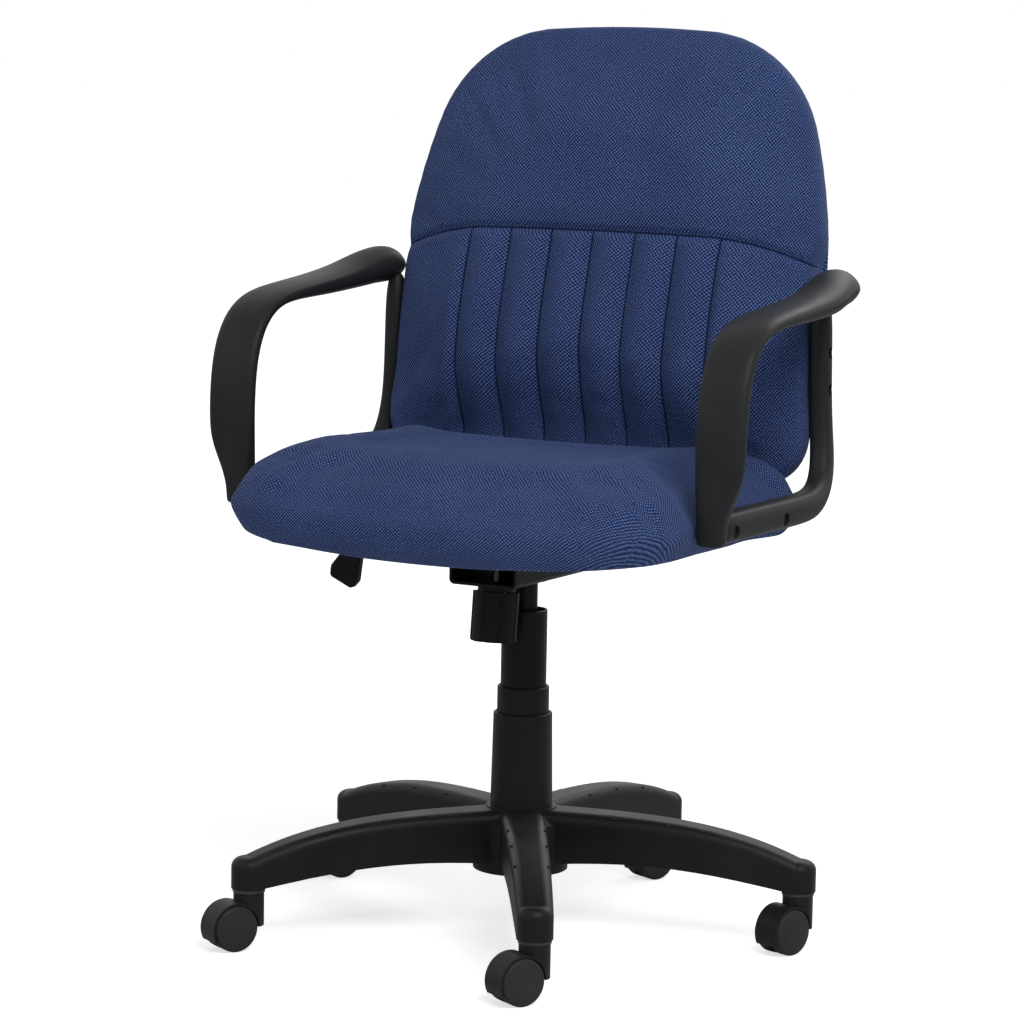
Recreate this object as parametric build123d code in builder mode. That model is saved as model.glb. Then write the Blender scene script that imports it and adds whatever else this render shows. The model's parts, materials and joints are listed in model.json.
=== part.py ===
from build123d import *
import math
import os

# Swivel office chair with loop arms, in millimetres.
# The origin is on the floor under the column, +Z is up and the chair faces -Y.

os.makedirs("parts", exist_ok=True)

# Fits that the pieces share
shaft_clearance = 0.05
moving_gap = 0.5
edge_break = 1.0

# Twin-wheel casters
wheel_diameter = 50.0
wheel_width = 15.5
wheel_rim_width = 10.0
wheel_wall = 3.5
wheel_hub_radius = 7.0
wheel_room = 0.8
caster_trail = 22.0
caster_height = 65.0
axle_diameter = 6.0
axle_end_cover = 3.0
web_thickness = 6.0
hood_wall = 2.2
hood_width = 30.0
hood_end_angle = 28.0
socket_radius = 16.5
socket_floor = 45.0
stem_diameter = 11.0
stem_grip_length = 20.0
stem_collar_radius = 17.5
stem_collar_height = 3.5
caster_headings = (-118.0, -108.0, -115.0, -115.0, -118.0)

# Five-spoke star base
leg_count = 5
star_turn = 32.0
caster_circle_radius = 310.0
leg_root_top = 136.0
leg_tip_top = 99.0
leg_root_bottom = 74.0
leg_arch = 14.0
leg_root_width = 50.0
leg_tip_width = 38.0
leg_top_round = 11.0
leg_wall = 4.0
leg_rib_thickness = 3.0
leg_rib_count = 3
leg_fall_power = 3.6
leg_stations = (0.08, 0.3, 0.52, 0.72, 0.88, 1.0)
hub_radius = 52.0
collar_radius = 38.5
collar_height = 14.0
hub_top = 137.0
hub_bottom = 68.0

# Gas column
tube_diameter = 50.0
tube_wall = 2.0
tube_top = 354.0
tube_bottom = 62.0
tube_foot_radius = 23.5
tube_floor_thickness = 4.0
tube_floor_play = 1.0
bush_length = 66.0
bush_depth = 7.0
cylinder_diameter = 28.0
cylinder_wall = 2.0
cylinder_bottom = 132.0
cylinder_top_radius = 13.0
rod_diameter = 10.0
rod_top = 330.0
piston_height = 8.0
race_inner_radius = 6.5
race_outer_radius = 17.0
race_thickness = 2.0
ball_diameter = 4.0
ball_circle_radius = 12.0
ball_count = 10
bump_stop_height = 18.0
bump_stop_radius = 12.0
bump_stop_round = 3.0
clip_thickness = 1.6
clip_radius = 9.0
clip_mouth_width = 7.0
valve_pin_diameter = 6.0
valve_pin_height = 7.0
valve_pin_depth = 14.0
valve_pin_round = 2.4

# Telescopic covers round the column
cover_wall = 2.0
cover_lower_foot_radius = 34.0
cover_lower_top_radius = 32.2
cover_lower_top = 241.0
cover_middle_radius = 28.4
cover_middle_length = 80.0
cover_middle_top = 270.0

# Swivel and tilt mechanism
sheet = 3.0
mechanism_floor = 390.0
housing_half_width = 41.0
housing_front = -94.0
housing_rear = 60.0
housing_front_top = 428.0
housing_peak = 434.0
housing_rear_top = 416.0
taper_hub_radius = 24.0
taper_hub_bottom = 386.0
taper_hub_top = 407.0
pivot_y = -34.0
pivot_z = 414.0
pivot_pin_diameter = 10.0
pivot_pin_overhang = 4.0
pin_clip_thickness = 1.5
pin_clip_rim = 2.0
ear_half_width = 17.0
ear_drop = 10.0
ear_taper = 0.6
plate_half_width = 86.0
plate_front = -98.0
plate_rear = 96.0
plate_corner = 14.0
plate_window_half_width = 24.0
plate_window_front = -22.0
plate_window_rear = 46.0
plate_bolt_x = 66.0
plate_bolt_y = 76.0
plate_bolt_diameter = 8.0
plate_bolt_head_radius = 7.0
plate_bolt_head_height = 5.0
tee_nut_radius = 11.0
tee_nut_flange = 1.6

# Tilt tension bolt, spring and knob
bar_y = -60.0
bar_z = 414.0
bar_diameter = 12.0
bar_length = 26.0
bar_play = 0.8
lug_gap = 14.0
lug_half_width = 11.0
bolt_lean = 6.0
bolt_diameter = 10.0
bolt_reach = 84.0
cup_radius = 20.2
cup_wall = 2.4
knob_radius = 25.0
knob_height = 54.0
knob_top_drop = 33.0
knob_wall = 3.5
knob_floor = 8.0
knob_flute_count = 8
knob_flute_radius = 3.0
knob_flute_offset = 1.35
knob_rim_chamfer = 2.0
spring_radius = 14.0
spring_wire = 4.5
spring_turns = 5
spring_washer_thickness = 2.5

# Height lever
lever_rod_diameter = 7.0
lever_z = 417.8
lever_pivot_x = -39.5
lever_inner_end = 5.0
lever_bend_x = -140.0
lever_end_x = -196.0
lever_end_y = -36.0
lever_end_z = 405.0
lever_bend_radius = 28.0
bush_radius = 6.5
bush_flange_radius = 8.5
bush_flange_thickness = 3.0
bush_inner_reach = 5.0
bush_outer_reach = 6.5
bush_rocking_room = 1.0
paddle_tilt = 24.0
paddle_length = 50.0
paddle_neck_width = 22.0
paddle_end_width = 38.0
paddle_thickness = 10.0
paddle_corner = 4.8
paddle_edge_chamfer = 1.5
paddle_belly_share = 0.55
paddle_tail_share = 0.8

# Seat
seat_half_width = 262.0
seat_rear_half_width = 246.0
seat_front = 250.0
seat_rear = 138.0
seat_front_bow = 22.0
seat_front_corner = 96.0
seat_rear_corner = 46.0
seat_widest_level = 476.0
seat_lip_bottom = 430.0
seat_lip_side_rise = 16.0
seat_top = 526.0
# each step of the section: height over the lip's bottom and inset, then share of the rise and inset
seat_lip_roll = ((-6.0, 26.0), (12.0, 7.0))
seat_crown_roll = ((0.0, 0.0), (0.40, 6.0), (0.70, 20.0), (0.88, 42.0), (0.97, 72.0), (1.0, 108.0))
seat_board_bottom = 442.0
seat_board_thickness = 12.0
seat_board_margin = 32.0
dust_cover_thickness = 1.2
dust_cover_margin = 6.0
seat_rail_inset = 12.0
seat_rail_width = 24.0
seat_rail_height = 40.0
seat_rail_front = -128.0
seat_rail_rear = 54.0

# Backrest, drawn on a plane that leans back
back_lean = 10.15
back_origin_y = 143.4
back_origin_z = 500.0
back_height = 491.7
back_bottom_half_width = 244.0
back_half_width = 266.0
back_widest_height = 170.0
back_shoulder_half_width = 196.0
back_shoulder_height = 478.0
back_shoulder_round = 150.0
back_bottom_round = 62.0
back_core_depth = 34.0
back_crown_depth = 45.0
back_rear_depth = 22.0
back_shell_depth = 36.0
# each step of the sections: share of the depth and inset
back_rear_roll = ((1.0, 6.0), (1 / 3, 1.5))
back_front_roll = ((0.25, 1.5), (0.7, 14.0), (1.0, 34.0))
back_shell_roll = ((0.0, 6.0), (0.45, 13.0), (0.8, 34.0), (1.0, 78.0))
# share of the crown, then insets of the panel and of its lower edge
back_panel_roll = ((0.6, 18.0, 3.0), (1.0, 60.0, 16.0))
back_board_thickness = 12.0
back_board_margin = 34.0
back_rail_width = 22.0
back_rail_depth = 24.0
back_rail_low = 66.0
back_rail_high = 176.0
back_seam_height = 256.0
back_seam_gap = 5.0
channel_pitch = 52.0
channel_count = 6
# share of the crown, then insets of a channel's sides, lower end and upper end
channel_roll = ((0.55, 4.0, 14.0, 3.0), (1.0, 14.0, 48.0, 12.0))
channel_seam_width = 1.0
channel_foot_gap = 2.0
back_panel_overlap = 1.0
back_least_corner = 12.0
back_shoulder_follow = 0.75

# Loop arms
arm_outer_x = 323.0
arm_ribbon_width = 54.0
arm_ribbon_thickness = 19.0
arm_rest_thickness = 15.0
arm_edge_round = 5.0
arm_bar_outer_x = 300.0
arm_bar_width = 28.0
arm_bar_height = 32.0
arm_bar_z = 478.0
arm_front_y = -140.0
arm_corner_y = -92.0
arm_corner_z = 661.0
arm_rest_front_z = 681.0
arm_rest_rear_z = 693.0
arm_foot_thickness = 25.0
arm_foot_step = 1.0
arm_flare_height = 46.0
arm_paddle_x = 291.0
arm_paddle_y = 152.0
arm_paddle_z = 703.0
arm_paddle_bank = 22.0
arm_paddle_width = 66.0
arm_end_y = 186.0
arm_tip_round = 9.0
arm_tip_lift = 4.0
arm_tip_thinning = 2.0
arm_upright_lean = 2.0
arm_upright_rise = 10.0
arm_upright_slope = 86.0
arm_shoulder_lean = 12.0
arm_shoulder_drop = 36.0
arm_shoulder_slope = 72.0
arm_corner_slope = 46.0
arm_rest_front_slope = 11.0
arm_rest_slope = 4.0
arm_rest_rear_slope = 6.0
arm_rest_rear_share = 1.2
arm_rest_bank_share = 0.35
arm_paddle_slope = 12.0
arm_tip_slope = 8.0
arm_end_lift = 4.5
arm_end_slope = 4.0
arm_flare_share = 0.35
arm_outer_bend = 150.0
arm_inner_bend = 118.0
arm_sway_top = 566.0
arm_post_inner_x = 257.0
arm_post_width = 21.0
arm_post_depth = 20.0
arm_post_y = 168.0
arm_seat_bolt_ys = (-98.0, 22.0)
arm_seat_bolt_z = 474.0
arm_back_bolt_zs = (598.0, 638.0)
arm_bolt_diameter = 8.0
arm_bolt_head_radius = 6.5
arm_bolt_head_height = 5.0
arm_bolt_recess = 8.0
arm_bolt_grip = 16.0
arm_side_room = 0.5

# Worked out from the sizes above
wheel_radius = wheel_diameter / 2
axle_radius = axle_diameter / 2
stem_radius = stem_diameter / 2
hood_top = caster_height - stem_collar_height - moving_gap
wheel_space_radius = wheel_radius + wheel_room
wheel_inner_y = web_thickness / 2 + moving_gap
axle_half_length = wheel_inner_y + wheel_width - axle_end_cover - moving_gap
tube_radius = tube_diameter / 2
cylinder_radius = cylinder_diameter / 2
rod_radius = rod_diameter / 2
race_bottom = tube_bottom + tube_floor_thickness
ball_level = race_bottom + race_thickness + ball_diameter / 2 + shaft_clearance
upper_race_bottom = ball_level + ball_diameter / 2 + shaft_clearance
bump_stop_bottom = upper_race_bottom + race_thickness
plate_top = seat_board_bottom
plate_bottom = plate_top - sheet
pivot_pin_radius = pivot_pin_diameter / 2
ear_inner_x = housing_half_width + moving_gap
bar_radius = bar_diameter / 2
bolt_radius = bolt_diameter / 2
lever_rod_radius = lever_rod_diameter / 2
seat_board_top = seat_board_bottom + seat_board_thickness
channel_field = channel_pitch * channel_count / 2
arm_bar_inner_x = arm_bar_outer_x - arm_bar_width
arm_post_outer_x = arm_post_inner_x + arm_post_width
arm_bolt_radius = arm_bolt_diameter / 2

lean_axis = Vector(0, math.sin(math.radians(bolt_lean)), math.cos(math.radians(bolt_lean)))
bar_center = Vector(0, bar_y, bar_z)
bolt_plane = Plane(origin=bar_center, x_dir=(1, 0, 0), z_dir=lean_axis)

back_sine = math.sin(math.radians(back_lean))
back_cosine = math.cos(math.radians(back_lean))
back_plane = Plane(
    origin=(0, back_origin_y, back_origin_z),
    x_dir=(1, 0, 0),
    z_dir=(0, -back_cosine, back_sine),
)


def save(piece, name):
    piece.part.label = name
    export_step(piece.part, f"parts/{name}.step")
    return piece


def revolved(profile_points):
    """A solid of revolution about Z through (radius, height) corners."""
    with BuildSketch(Plane.XZ) as profile:
        with BuildLine():
            Polyline(*profile_points, close=True)
        make_face()
    return revolve(profile.sketch, axis=Axis.Z)


# Star base: five hollow, ribbed legs run out from a tapered hub.

def leg_top(radius):
    share = radius / caster_circle_radius
    return leg_root_top - (leg_root_top - leg_tip_top) * share**leg_fall_power


def leg_bottom(radius):
    share = radius / caster_circle_radius
    straight = leg_root_bottom + (caster_height - leg_root_bottom) * share
    return straight + leg_arch * math.sin(math.pi * min(share, 1.0))


def leg_width(radius):
    share = radius / caster_circle_radius
    return leg_root_width + (leg_tip_width - leg_root_width) * share


def leg_section(radius, width, low, high, corner):
    """Upright cross-section of a leg with rounded upper corners."""
    plane = Plane(origin=(radius, 0, 0), x_dir=(0, 1, 0), z_dir=(1, 0, 0))
    with BuildSketch(plane) as section:
        with Locations((0, (low + high) / 2)):
            Rectangle(width, high - low)
        fillet(section.vertices().group_by(Axis.Y)[-1], corner)
    return section.sketch


with BuildPart() as leg_form:
    stations = [share * caster_circle_radius for share in leg_stations]
    loft([leg_section(r, leg_width(r), leg_bottom(r), leg_top(r), leg_top_round) for r in stations])
    # the rounded nose over the caster socket
    with BuildSketch(Plane.XZ) as nose_profile:
        with Locations((caster_circle_radius, caster_height)):
            Rectangle(leg_tip_width / 2, leg_tip_top - caster_height, align=Align.MIN)
        fillet(nose_profile.vertices().group_by(Axis.Y)[-1].sort_by(Axis.X)[-1], leg_top_round)
    revolve(axis=Axis((caster_circle_radius, 0, 0), (0, 0, 1)))
    # the hollow underside, left open between the cross ribs
    cavity_end = caster_circle_radius - leg_tip_width / 2 - leg_wall
    cavity_start = hub_radius
    cavity_stations = [cavity_start + (cavity_end - cavity_start) * k / 4 for k in range(5)]
    loft(
        [
            leg_section(
                r,
                leg_width(r) - 2 * leg_wall,
                leg_bottom(r) - leg_arch,
                leg_top(r) - leg_wall,
                leg_top_round - leg_wall,
            )
            for r in cavity_stations
        ],
        mode=Mode.SUBTRACT,
    )
    rib_pitch = (cavity_end - cavity_start) / (leg_rib_count + 1)
    for k in range(1, leg_rib_count + 1):
        rib_radius = cavity_start + rib_pitch * k
        with BuildSketch(Plane(origin=(rib_radius, 0, 0), x_dir=(0, 1, 0), z_dir=(1, 0, 0))):
            rib_low = leg_bottom(rib_radius) + leg_wall
            rib_high = leg_top(rib_radius) - leg_wall / 2
            with Locations((0, (rib_low + rib_high) / 2)):
                Rectangle(leg_width(rib_radius) - leg_wall, rib_high - rib_low)
        extrude(amount=leg_rib_thickness / 2, both=True)

leg_angles = [star_turn - 90 + 360 / leg_count * k for k in range(leg_count)]

with BuildPart() as star_base:
    with Locations(*[Location((0, 0, 0), (0, 0, angle)) for angle in leg_angles]):
        add(leg_form.part)
    add(
        revolved(
            (
                (0, hub_bottom),
                (hub_radius, hub_bottom),
                (hub_radius, leg_root_top - collar_height),
                (collar_radius, leg_root_top - collar_height / 3),
                (collar_radius, hub_top),
                (0, hub_top),
            )
        )
    )
    # taper socket for the column
    add(
        revolved(
            (
                (0, tube_bottom),
                (tube_foot_radius, tube_bottom),
                (tube_radius, hub_top),
                (0, hub_top),
            )
        ),
        mode=Mode.SUBTRACT,
    )
    # stem sockets in the leg tips
    with BuildSketch(Plane.XY.offset(caster_height)):
        with PolarLocations(caster_circle_radius, leg_count, start_angle=leg_angles[0]):
            Circle(stem_radius)
    extrude(amount=stem_grip_length, mode=Mode.SUBTRACT)
save(star_base, "star_base")

with BuildPart() as caster_stems:
    with PolarLocations(caster_circle_radius, leg_count, start_angle=leg_angles[0]):
        with Locations((0, 0, socket_floor + moving_gap)):
            Cylinder(
                stem_radius,
                caster_height + stem_grip_length - socket_floor - moving_gap,
                align=(Align.CENTER, Align.CENTER, Align.MIN),
            )
        with Locations((0, 0, caster_height - stem_collar_height)):
            Cylinder(
                stem_collar_radius,
                stem_collar_height,
                align=(Align.CENTER, Align.CENTER, Align.MIN),
            )
save(caster_stems, "caster_stems")


# Casters: each hood swivels on its stem and carries two wheels on one axle.
# The local frame has the stem on Z and the wheels trailing along +X.

axle_point = (caster_trail, wheel_radius)

with BuildPart() as hood_form:
    with BuildSketch(Plane.XY.offset(hood_top)):
        Circle(socket_radius)
    extrude(amount=-(hood_top - wheel_radius))
    with BuildSketch(Plane.XZ):
        with Locations(axle_point):
            Circle(wheel_space_radius)
    extrude(amount=socket_radius, both=True, mode=Mode.SUBTRACT)
    # cover over the treads, ending in a rounded tongue behind the wheels
    with BuildSketch(Plane.XZ):
        with Locations(axle_point):
            Circle(wheel_space_radius + hood_wall)
            Circle(wheel_space_radius, mode=Mode.SUBTRACT)
            Rectangle(
                4 * wheel_diameter,
                wheel_diameter * 2,
                rotation=-hood_end_angle,
                align=(Align.CENTER, Align.MAX),
                mode=Mode.SUBTRACT,
            )
    extrude(amount=hood_width / 2, both=True)
    # web between the wheels
    with BuildSketch(Plane.XZ):
        with Locations(axle_point):
            Circle(wheel_space_radius + hood_wall / 2)
            Rectangle(
                4 * wheel_diameter,
                wheel_diameter * 2,
                rotation=-hood_end_angle,
                align=(Align.CENTER, Align.MAX),
                mode=Mode.SUBTRACT,
            )
            Circle(wheel_hub_radius + wheel_wall)
        with Locations((0, (socket_floor + wheel_radius) / 2)):
            Rectangle(stem_diameter, socket_floor - wheel_radius)
    extrude(amount=web_thickness / 2, both=True)
    # bores for the stem and the axle
    with BuildSketch(Plane.XY.offset(hood_top)):
        Circle(stem_radius + shaft_clearance)
    extrude(amount=-(hood_top - socket_floor), mode=Mode.SUBTRACT)
    with BuildSketch(Plane.XZ):
        with Locations(axle_point):
            Circle(axle_radius)
    extrude(amount=web_thickness, both=True, mode=Mode.SUBTRACT)

with BuildPart() as axle_form:
    with BuildSketch(Plane.XZ):
        with Locations(axle_point):
            Circle(axle_radius)
    extrude(amount=axle_half_length, both=True)

# The wheel stands on the XY plane here: its inner face is at z = 0 and its dome faces up.
with BuildPart() as wheel_form:
    bore = axle_radius + shaft_clearance
    bore_depth = wheel_width - axle_end_cover
    rim_inner = wheel_radius - wheel_wall
    with BuildSketch(Plane.XZ):
        with BuildLine():
            Polyline(
                (0, wheel_width),
                (0, bore_depth),
                (bore, bore_depth),
                (bore, 0),
                (wheel_hub_radius, 0),
                (wheel_hub_radius, wheel_rim_width - wheel_wall),
                (rim_inner, wheel_rim_width - wheel_wall),
                (rim_inner, 0),
                (wheel_radius - edge_break, 0),
                (wheel_radius, edge_break),
                (wheel_radius, wheel_rim_width),
            )
            shoulder = RadiusArc(
                (wheel_radius, wheel_rim_width),
                (wheel_radius - wheel_wall, wheel_rim_width + wheel_wall),
                -wheel_wall,
            )
            dome_rise = wheel_width - wheel_rim_width - wheel_wall
            dome_radius = (rim_inner**2 + dome_rise**2) / (2 * dome_rise)
            dome_middle = dome_radius - math.sqrt(dome_radius**2 - rim_inner**2 / 4)
            ThreePointArc(shoulder @ 1, (rim_inner / 2, wheel_width - dome_middle), (0, wheel_width))
        make_face()
    revolve(axis=Axis.Z)

for k, (angle, heading) in enumerate(zip(leg_angles, caster_headings), start=1):
    place = Location(
        (
            caster_circle_radius * math.cos(math.radians(angle)),
            caster_circle_radius * math.sin(math.radians(angle)),
            0,
        ),
        (0, 0, heading),
    )
    with BuildPart() as caster_hood:
        with Locations(place):
            add(hood_form.part)
    save(caster_hood, f"caster_{k}_hood")
    with BuildPart() as caster_axle:
        with Locations(place):
            add(axle_form.part)
    save(caster_axle, f"caster_{k}_axle")
    for side, turn, offset in (("left", -90, wheel_inner_y), ("right", 90, -wheel_inner_y)):
        with BuildPart() as caster_wheel:
            with Locations(place * Location((caster_trail, offset, wheel_radius), (turn, 0, 0))):
                add(wheel_form.part)
        save(caster_wheel, f"caster_{k}_wheel_{side}")


# Gas column: the tube is wedged in the hub, the rod turns on a thrust bearing on its
# floor, and the cylinder slides on the rod through the guide bush.

with BuildPart() as column_tube:
    add(
        revolved(
            (
                (rod_radius + tube_floor_play, tube_bottom),
                (tube_foot_radius, tube_bottom),
                (tube_radius, hub_top),
                (tube_radius, tube_top),
                (tube_radius - tube_wall, tube_top),
                (tube_radius - tube_wall, hub_top),
                (tube_foot_radius - tube_wall, race_bottom),
                (rod_radius + tube_floor_play, race_bottom),
            )
        )
    )
save(column_tube, "column_tube")

bush_top = tube_top - bush_depth

with BuildPart() as guide_bush:
    add(
        revolved(
            (
                (cylinder_radius + shaft_clearance, bush_top - bush_length),
                (tube_radius - tube_wall, bush_top - bush_length),
                (tube_radius - tube_wall, bush_top),
                (cylinder_radius + shaft_clearance + edge_break, bush_top),
                (cylinder_radius + shaft_clearance, bush_top - edge_break),
            )
        )
    )
save(guide_bush, "guide_bush")


def ring(inner, outer, low, height):
    return revolved(((inner, low), (outer, low), (outer, low + height), (inner, low + height)))


with BuildPart() as lower_race:
    add(ring(race_inner_radius, race_outer_radius, race_bottom, race_thickness))
save(lower_race, "lower_race")

with BuildPart() as upper_race:
    add(ring(rod_radius, race_outer_radius, upper_race_bottom, race_thickness))
save(upper_race, "upper_race")

with BuildPart() as bearing_balls:
    with Locations((0, 0, ball_level)):
        with PolarLocations(ball_circle_radius, ball_count):
            Sphere(ball_diameter / 2)
save(bearing_balls, "bearing_balls")

with BuildPart() as bump_stop:
    add(ring(rod_radius, bump_stop_radius, bump_stop_bottom, bump_stop_height))
    fillet(bump_stop.edges().group_by(Axis.Z)[-1].sort_by(SortBy.RADIUS)[-1], bump_stop_round)
save(bump_stop, "bump_stop")

clip_bottom = tube_bottom - moving_gap - clip_thickness

with BuildPart() as rod_clip:
    add(ring(rod_radius, clip_radius, clip_bottom, clip_thickness))
    with Locations((0, clip_radius, clip_bottom + clip_thickness / 2)):
        Box(clip_mouth_width, clip_radius * 2, clip_thickness, mode=Mode.SUBTRACT)
save(rod_clip, "rod_clip")

piston_radius = cylinder_radius - cylinder_wall - shaft_clearance

with BuildPart() as piston_rod:
    add(
        revolved(
            (
                (0, clip_bottom - clip_thickness),
                (rod_radius, clip_bottom - clip_thickness),
                (rod_radius, rod_top - piston_height),
                (piston_radius, rod_top - piston_height),
                (piston_radius, rod_top),
                (0, rod_top),
            )
        )
    )
save(piston_rod, "piston_rod")

valve_pin_radius = valve_pin_diameter / 2
bore_radius = cylinder_radius - cylinder_wall
bore_top = taper_hub_top - valve_pin_depth - cylinder_wall

with BuildPart() as gas_cylinder:
    add(
        revolved(
            (
                (rod_radius + shaft_clearance, cylinder_bottom),
                (cylinder_radius - edge_break, cylinder_bottom),
                (cylinder_radius, cylinder_bottom + edge_break),
                (cylinder_radius, taper_hub_bottom),
                (cylinder_top_radius, taper_hub_top),
                (valve_pin_radius + shaft_clearance, taper_hub_top),
                (valve_pin_radius + shaft_clearance, bore_top),
                (bore_radius, bore_top - cylinder_wall),
                (bore_radius, cylinder_bottom + piston_height),
                (rod_radius + shaft_clearance, cylinder_bottom + piston_height),
            )
        )
    )
save(gas_cylinder, "gas_cylinder")

with BuildPart() as valve_pin:
    with Locations((0, 0, taper_hub_top - valve_pin_depth / 2)):
        Cylinder(
            valve_pin_radius,
            valve_pin_depth / 2 + valve_pin_height,
            align=(Align.CENTER, Align.CENTER, Align.MIN),
        )
    fillet(valve_pin.edges().group_by(Axis.Z)[-1], valve_pin_round)
save(valve_pin, "valve_pin")

cover_lip = cover_middle_radius + moving_gap

with BuildPart() as cover_lower:
    add(
        revolved(
            (
                (cover_lower_foot_radius - cover_wall, hub_top),
                (cover_lower_foot_radius, hub_top),
                (cover_lower_top_radius, cover_lower_top - edge_break),
                (cover_lower_top_radius - edge_break, cover_lower_top),
                (cover_lip, cover_lower_top),
                (cover_lip, cover_lower_top - 2 * cover_wall),
                (cover_lower_top_radius - cover_wall, cover_lower_top - 3 * cover_wall),
            )
        )
    )
save(cover_lower, "cover_lower")

with BuildPart() as cover_middle:
    inner = cover_middle_radius - cover_wall
    add(
        revolved(
            (
                (inner, cover_middle_top - cover_middle_length),
                (cover_middle_radius, cover_middle_top - cover_middle_length),
                (cover_middle_radius, cover_middle_top - edge_break),
                (cover_middle_radius - edge_break, cover_middle_top),
                (tube_radius + moving_gap, cover_middle_top),
                (tube_radius + moving_gap, cover_middle_top - cover_wall),
                (inner, cover_middle_top - 2 * cover_wall),
            )
        )
    )
save(cover_middle, "cover_middle")


# Swivel housing: a pressed channel with the taper hub and the spring cup.

with BuildPart() as swivel_housing:
    with BuildSketch(Plane.YZ):
        with BuildLine():
            Polyline(
                (housing_front, mechanism_floor),
                (housing_rear, mechanism_floor),
                (housing_rear, housing_rear_top),
                (pivot_y, housing_peak),
                (housing_front, housing_front_top),
                close=True,
            )
        make_face()
    extrude(amount=housing_half_width, both=True)
    fillet(swivel_housing.edges().filter_by(Axis.Y).group_by(Axis.Z)[0], 2 * sheet)
    with BuildSketch(Plane.YZ):
        with Locations(((housing_front + housing_rear) / 2, mechanism_floor + sheet)):
            Rectangle(
                housing_rear - housing_front,
                housing_peak,
                align=(Align.CENTER, Align.MIN),
            )
    extrude(amount=housing_half_width - sheet, both=True, mode=Mode.SUBTRACT)
    # hub that the cylinder wedges into
    with BuildSketch(Plane.XY.offset(taper_hub_bottom)):
        Circle(taper_hub_radius)
    extrude(amount=taper_hub_top - taper_hub_bottom)
    add(
        revolved(
            (
                (0, taper_hub_bottom),
                (cylinder_radius, taper_hub_bottom),
                (cylinder_top_radius, taper_hub_top),
                (0, taper_hub_top),
            )
        ),
        mode=Mode.SUBTRACT,
    )
    # spring cup under the front of the floor
    cup_drop = knob_top_drop - moving_gap
    floor_drop = (bar_z - mechanism_floor) / lean_axis.Z
    with BuildSketch(bolt_plane.offset(-cup_drop)):
        Circle(cup_radius)
    extrude(amount=cup_drop - floor_drop + sheet / 2)
    with BuildSketch(bolt_plane.offset(-cup_drop)):
        Circle(cup_radius - cup_wall)
    extrude(amount=cup_drop - floor_drop - sheet, mode=Mode.SUBTRACT)
    with BuildSketch(bolt_plane):
        Circle(bolt_radius + bar_play)
    extrude(amount=-cup_drop, mode=Mode.SUBTRACT)
    # holes for the tilt pin and the lever bush
    with BuildSketch(Plane.YZ):
        with Locations((pivot_y, pivot_z)):
            Circle(pivot_pin_radius)
    extrude(amount=2 * housing_half_width, both=True, mode=Mode.SUBTRACT)
    with BuildSketch(Plane.YZ.offset(lever_pivot_x)):
        with Locations((0, lever_z)):
            Circle(bush_radius + bush_rocking_room)
    extrude(amount=2 * sheet, both=True, mode=Mode.SUBTRACT)
save(swivel_housing, "swivel_housing")

with BuildPart() as tilt_pin:
    pin_reach = ear_inner_x + sheet + pivot_pin_overhang
    with BuildSketch(Plane.YZ):
        with Locations((pivot_y, pivot_z)):
            Circle(pivot_pin_radius)
    extrude(amount=pin_reach, both=True)
    for side in (-1, 1):
        with BuildSketch(Plane.YZ.offset(side * (pin_reach - pin_clip_thickness))):
            with Locations((pivot_y, pivot_z)):
                Circle(pivot_pin_radius + pin_clip_rim)
        extrude(amount=pin_clip_thickness / 2, both=True)
save(tilt_pin, "tilt_pin")


# Tilt plate: bolted under the seat board, with two ears on the pin and two lugs
# that hold the tension bolt's cross bar.

def hanging_ear(y, z, half_width, hole, inner_x, low):
    with BuildSketch(Plane.YZ.offset(inner_x)) as ear:
        with BuildLine():
            Polyline(
                (y - half_width, plate_bottom + sheet / 2),
                (y - half_width, z),
                (y - half_width * ear_taper, low),
                (y + half_width * ear_taper, low),
                (y + half_width, z),
                (y + half_width, plate_bottom + sheet / 2),
                close=True,
            )
        make_face()
        with Locations((y, z)):
            Circle(hole, mode=Mode.SUBTRACT)
    return ear.sketch


with BuildPart() as tilt_plate:
    with BuildSketch(Plane.XY.offset(plate_bottom)):
        with Locations((0, (plate_front + plate_rear) / 2)):
            RectangleRounded(2 * plate_half_width, plate_rear - plate_front, plate_corner)
        with Locations((0, (plate_window_front + plate_window_rear) / 2)):
            RectangleRounded(
                2 * plate_window_half_width,
                plate_window_rear - plate_window_front,
                plate_corner / 2,
                mode=Mode.SUBTRACT,
            )
        with GridLocations(2 * plate_bolt_x, 2 * plate_bolt_y, 2, 2):
            Circle(plate_bolt_diameter / 2, mode=Mode.SUBTRACT)
    extrude(amount=sheet)
    for side in (-1, 1):
        ear_x = ear_inner_x if side > 0 else -ear_inner_x - sheet
        extrude(
            hanging_ear(
                pivot_y, pivot_z, ear_half_width, pivot_pin_radius + shaft_clearance, ear_x,
                pivot_z - ear_drop,
            ),
            amount=sheet,
        )
        lug_x = lug_gap / 2 if side > 0 else -lug_gap / 2 - sheet
        extrude(
            hanging_ear(
                bar_y, bar_z, lug_half_width, bar_radius + bar_play, lug_x,
                bar_z - bar_radius - sheet,
            ),
            amount=sheet,
        )
save(tilt_plate, "tilt_plate")

with BuildPart() as plate_bolts:
    with Locations((0, 0, plate_bottom)):
        with GridLocations(2 * plate_bolt_x, 2 * plate_bolt_y, 2, 2):
            Cylinder(
                plate_bolt_diameter / 2,
                sheet + seat_board_thickness - tee_nut_flange,
                align=(Align.CENTER, Align.CENTER, Align.MIN),
            )
            Cylinder(
                plate_bolt_head_radius,
                plate_bolt_head_height,
                align=(Align.CENTER, Align.CENTER, Align.MAX),
            )
save(plate_bolts, "plate_bolts")

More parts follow.
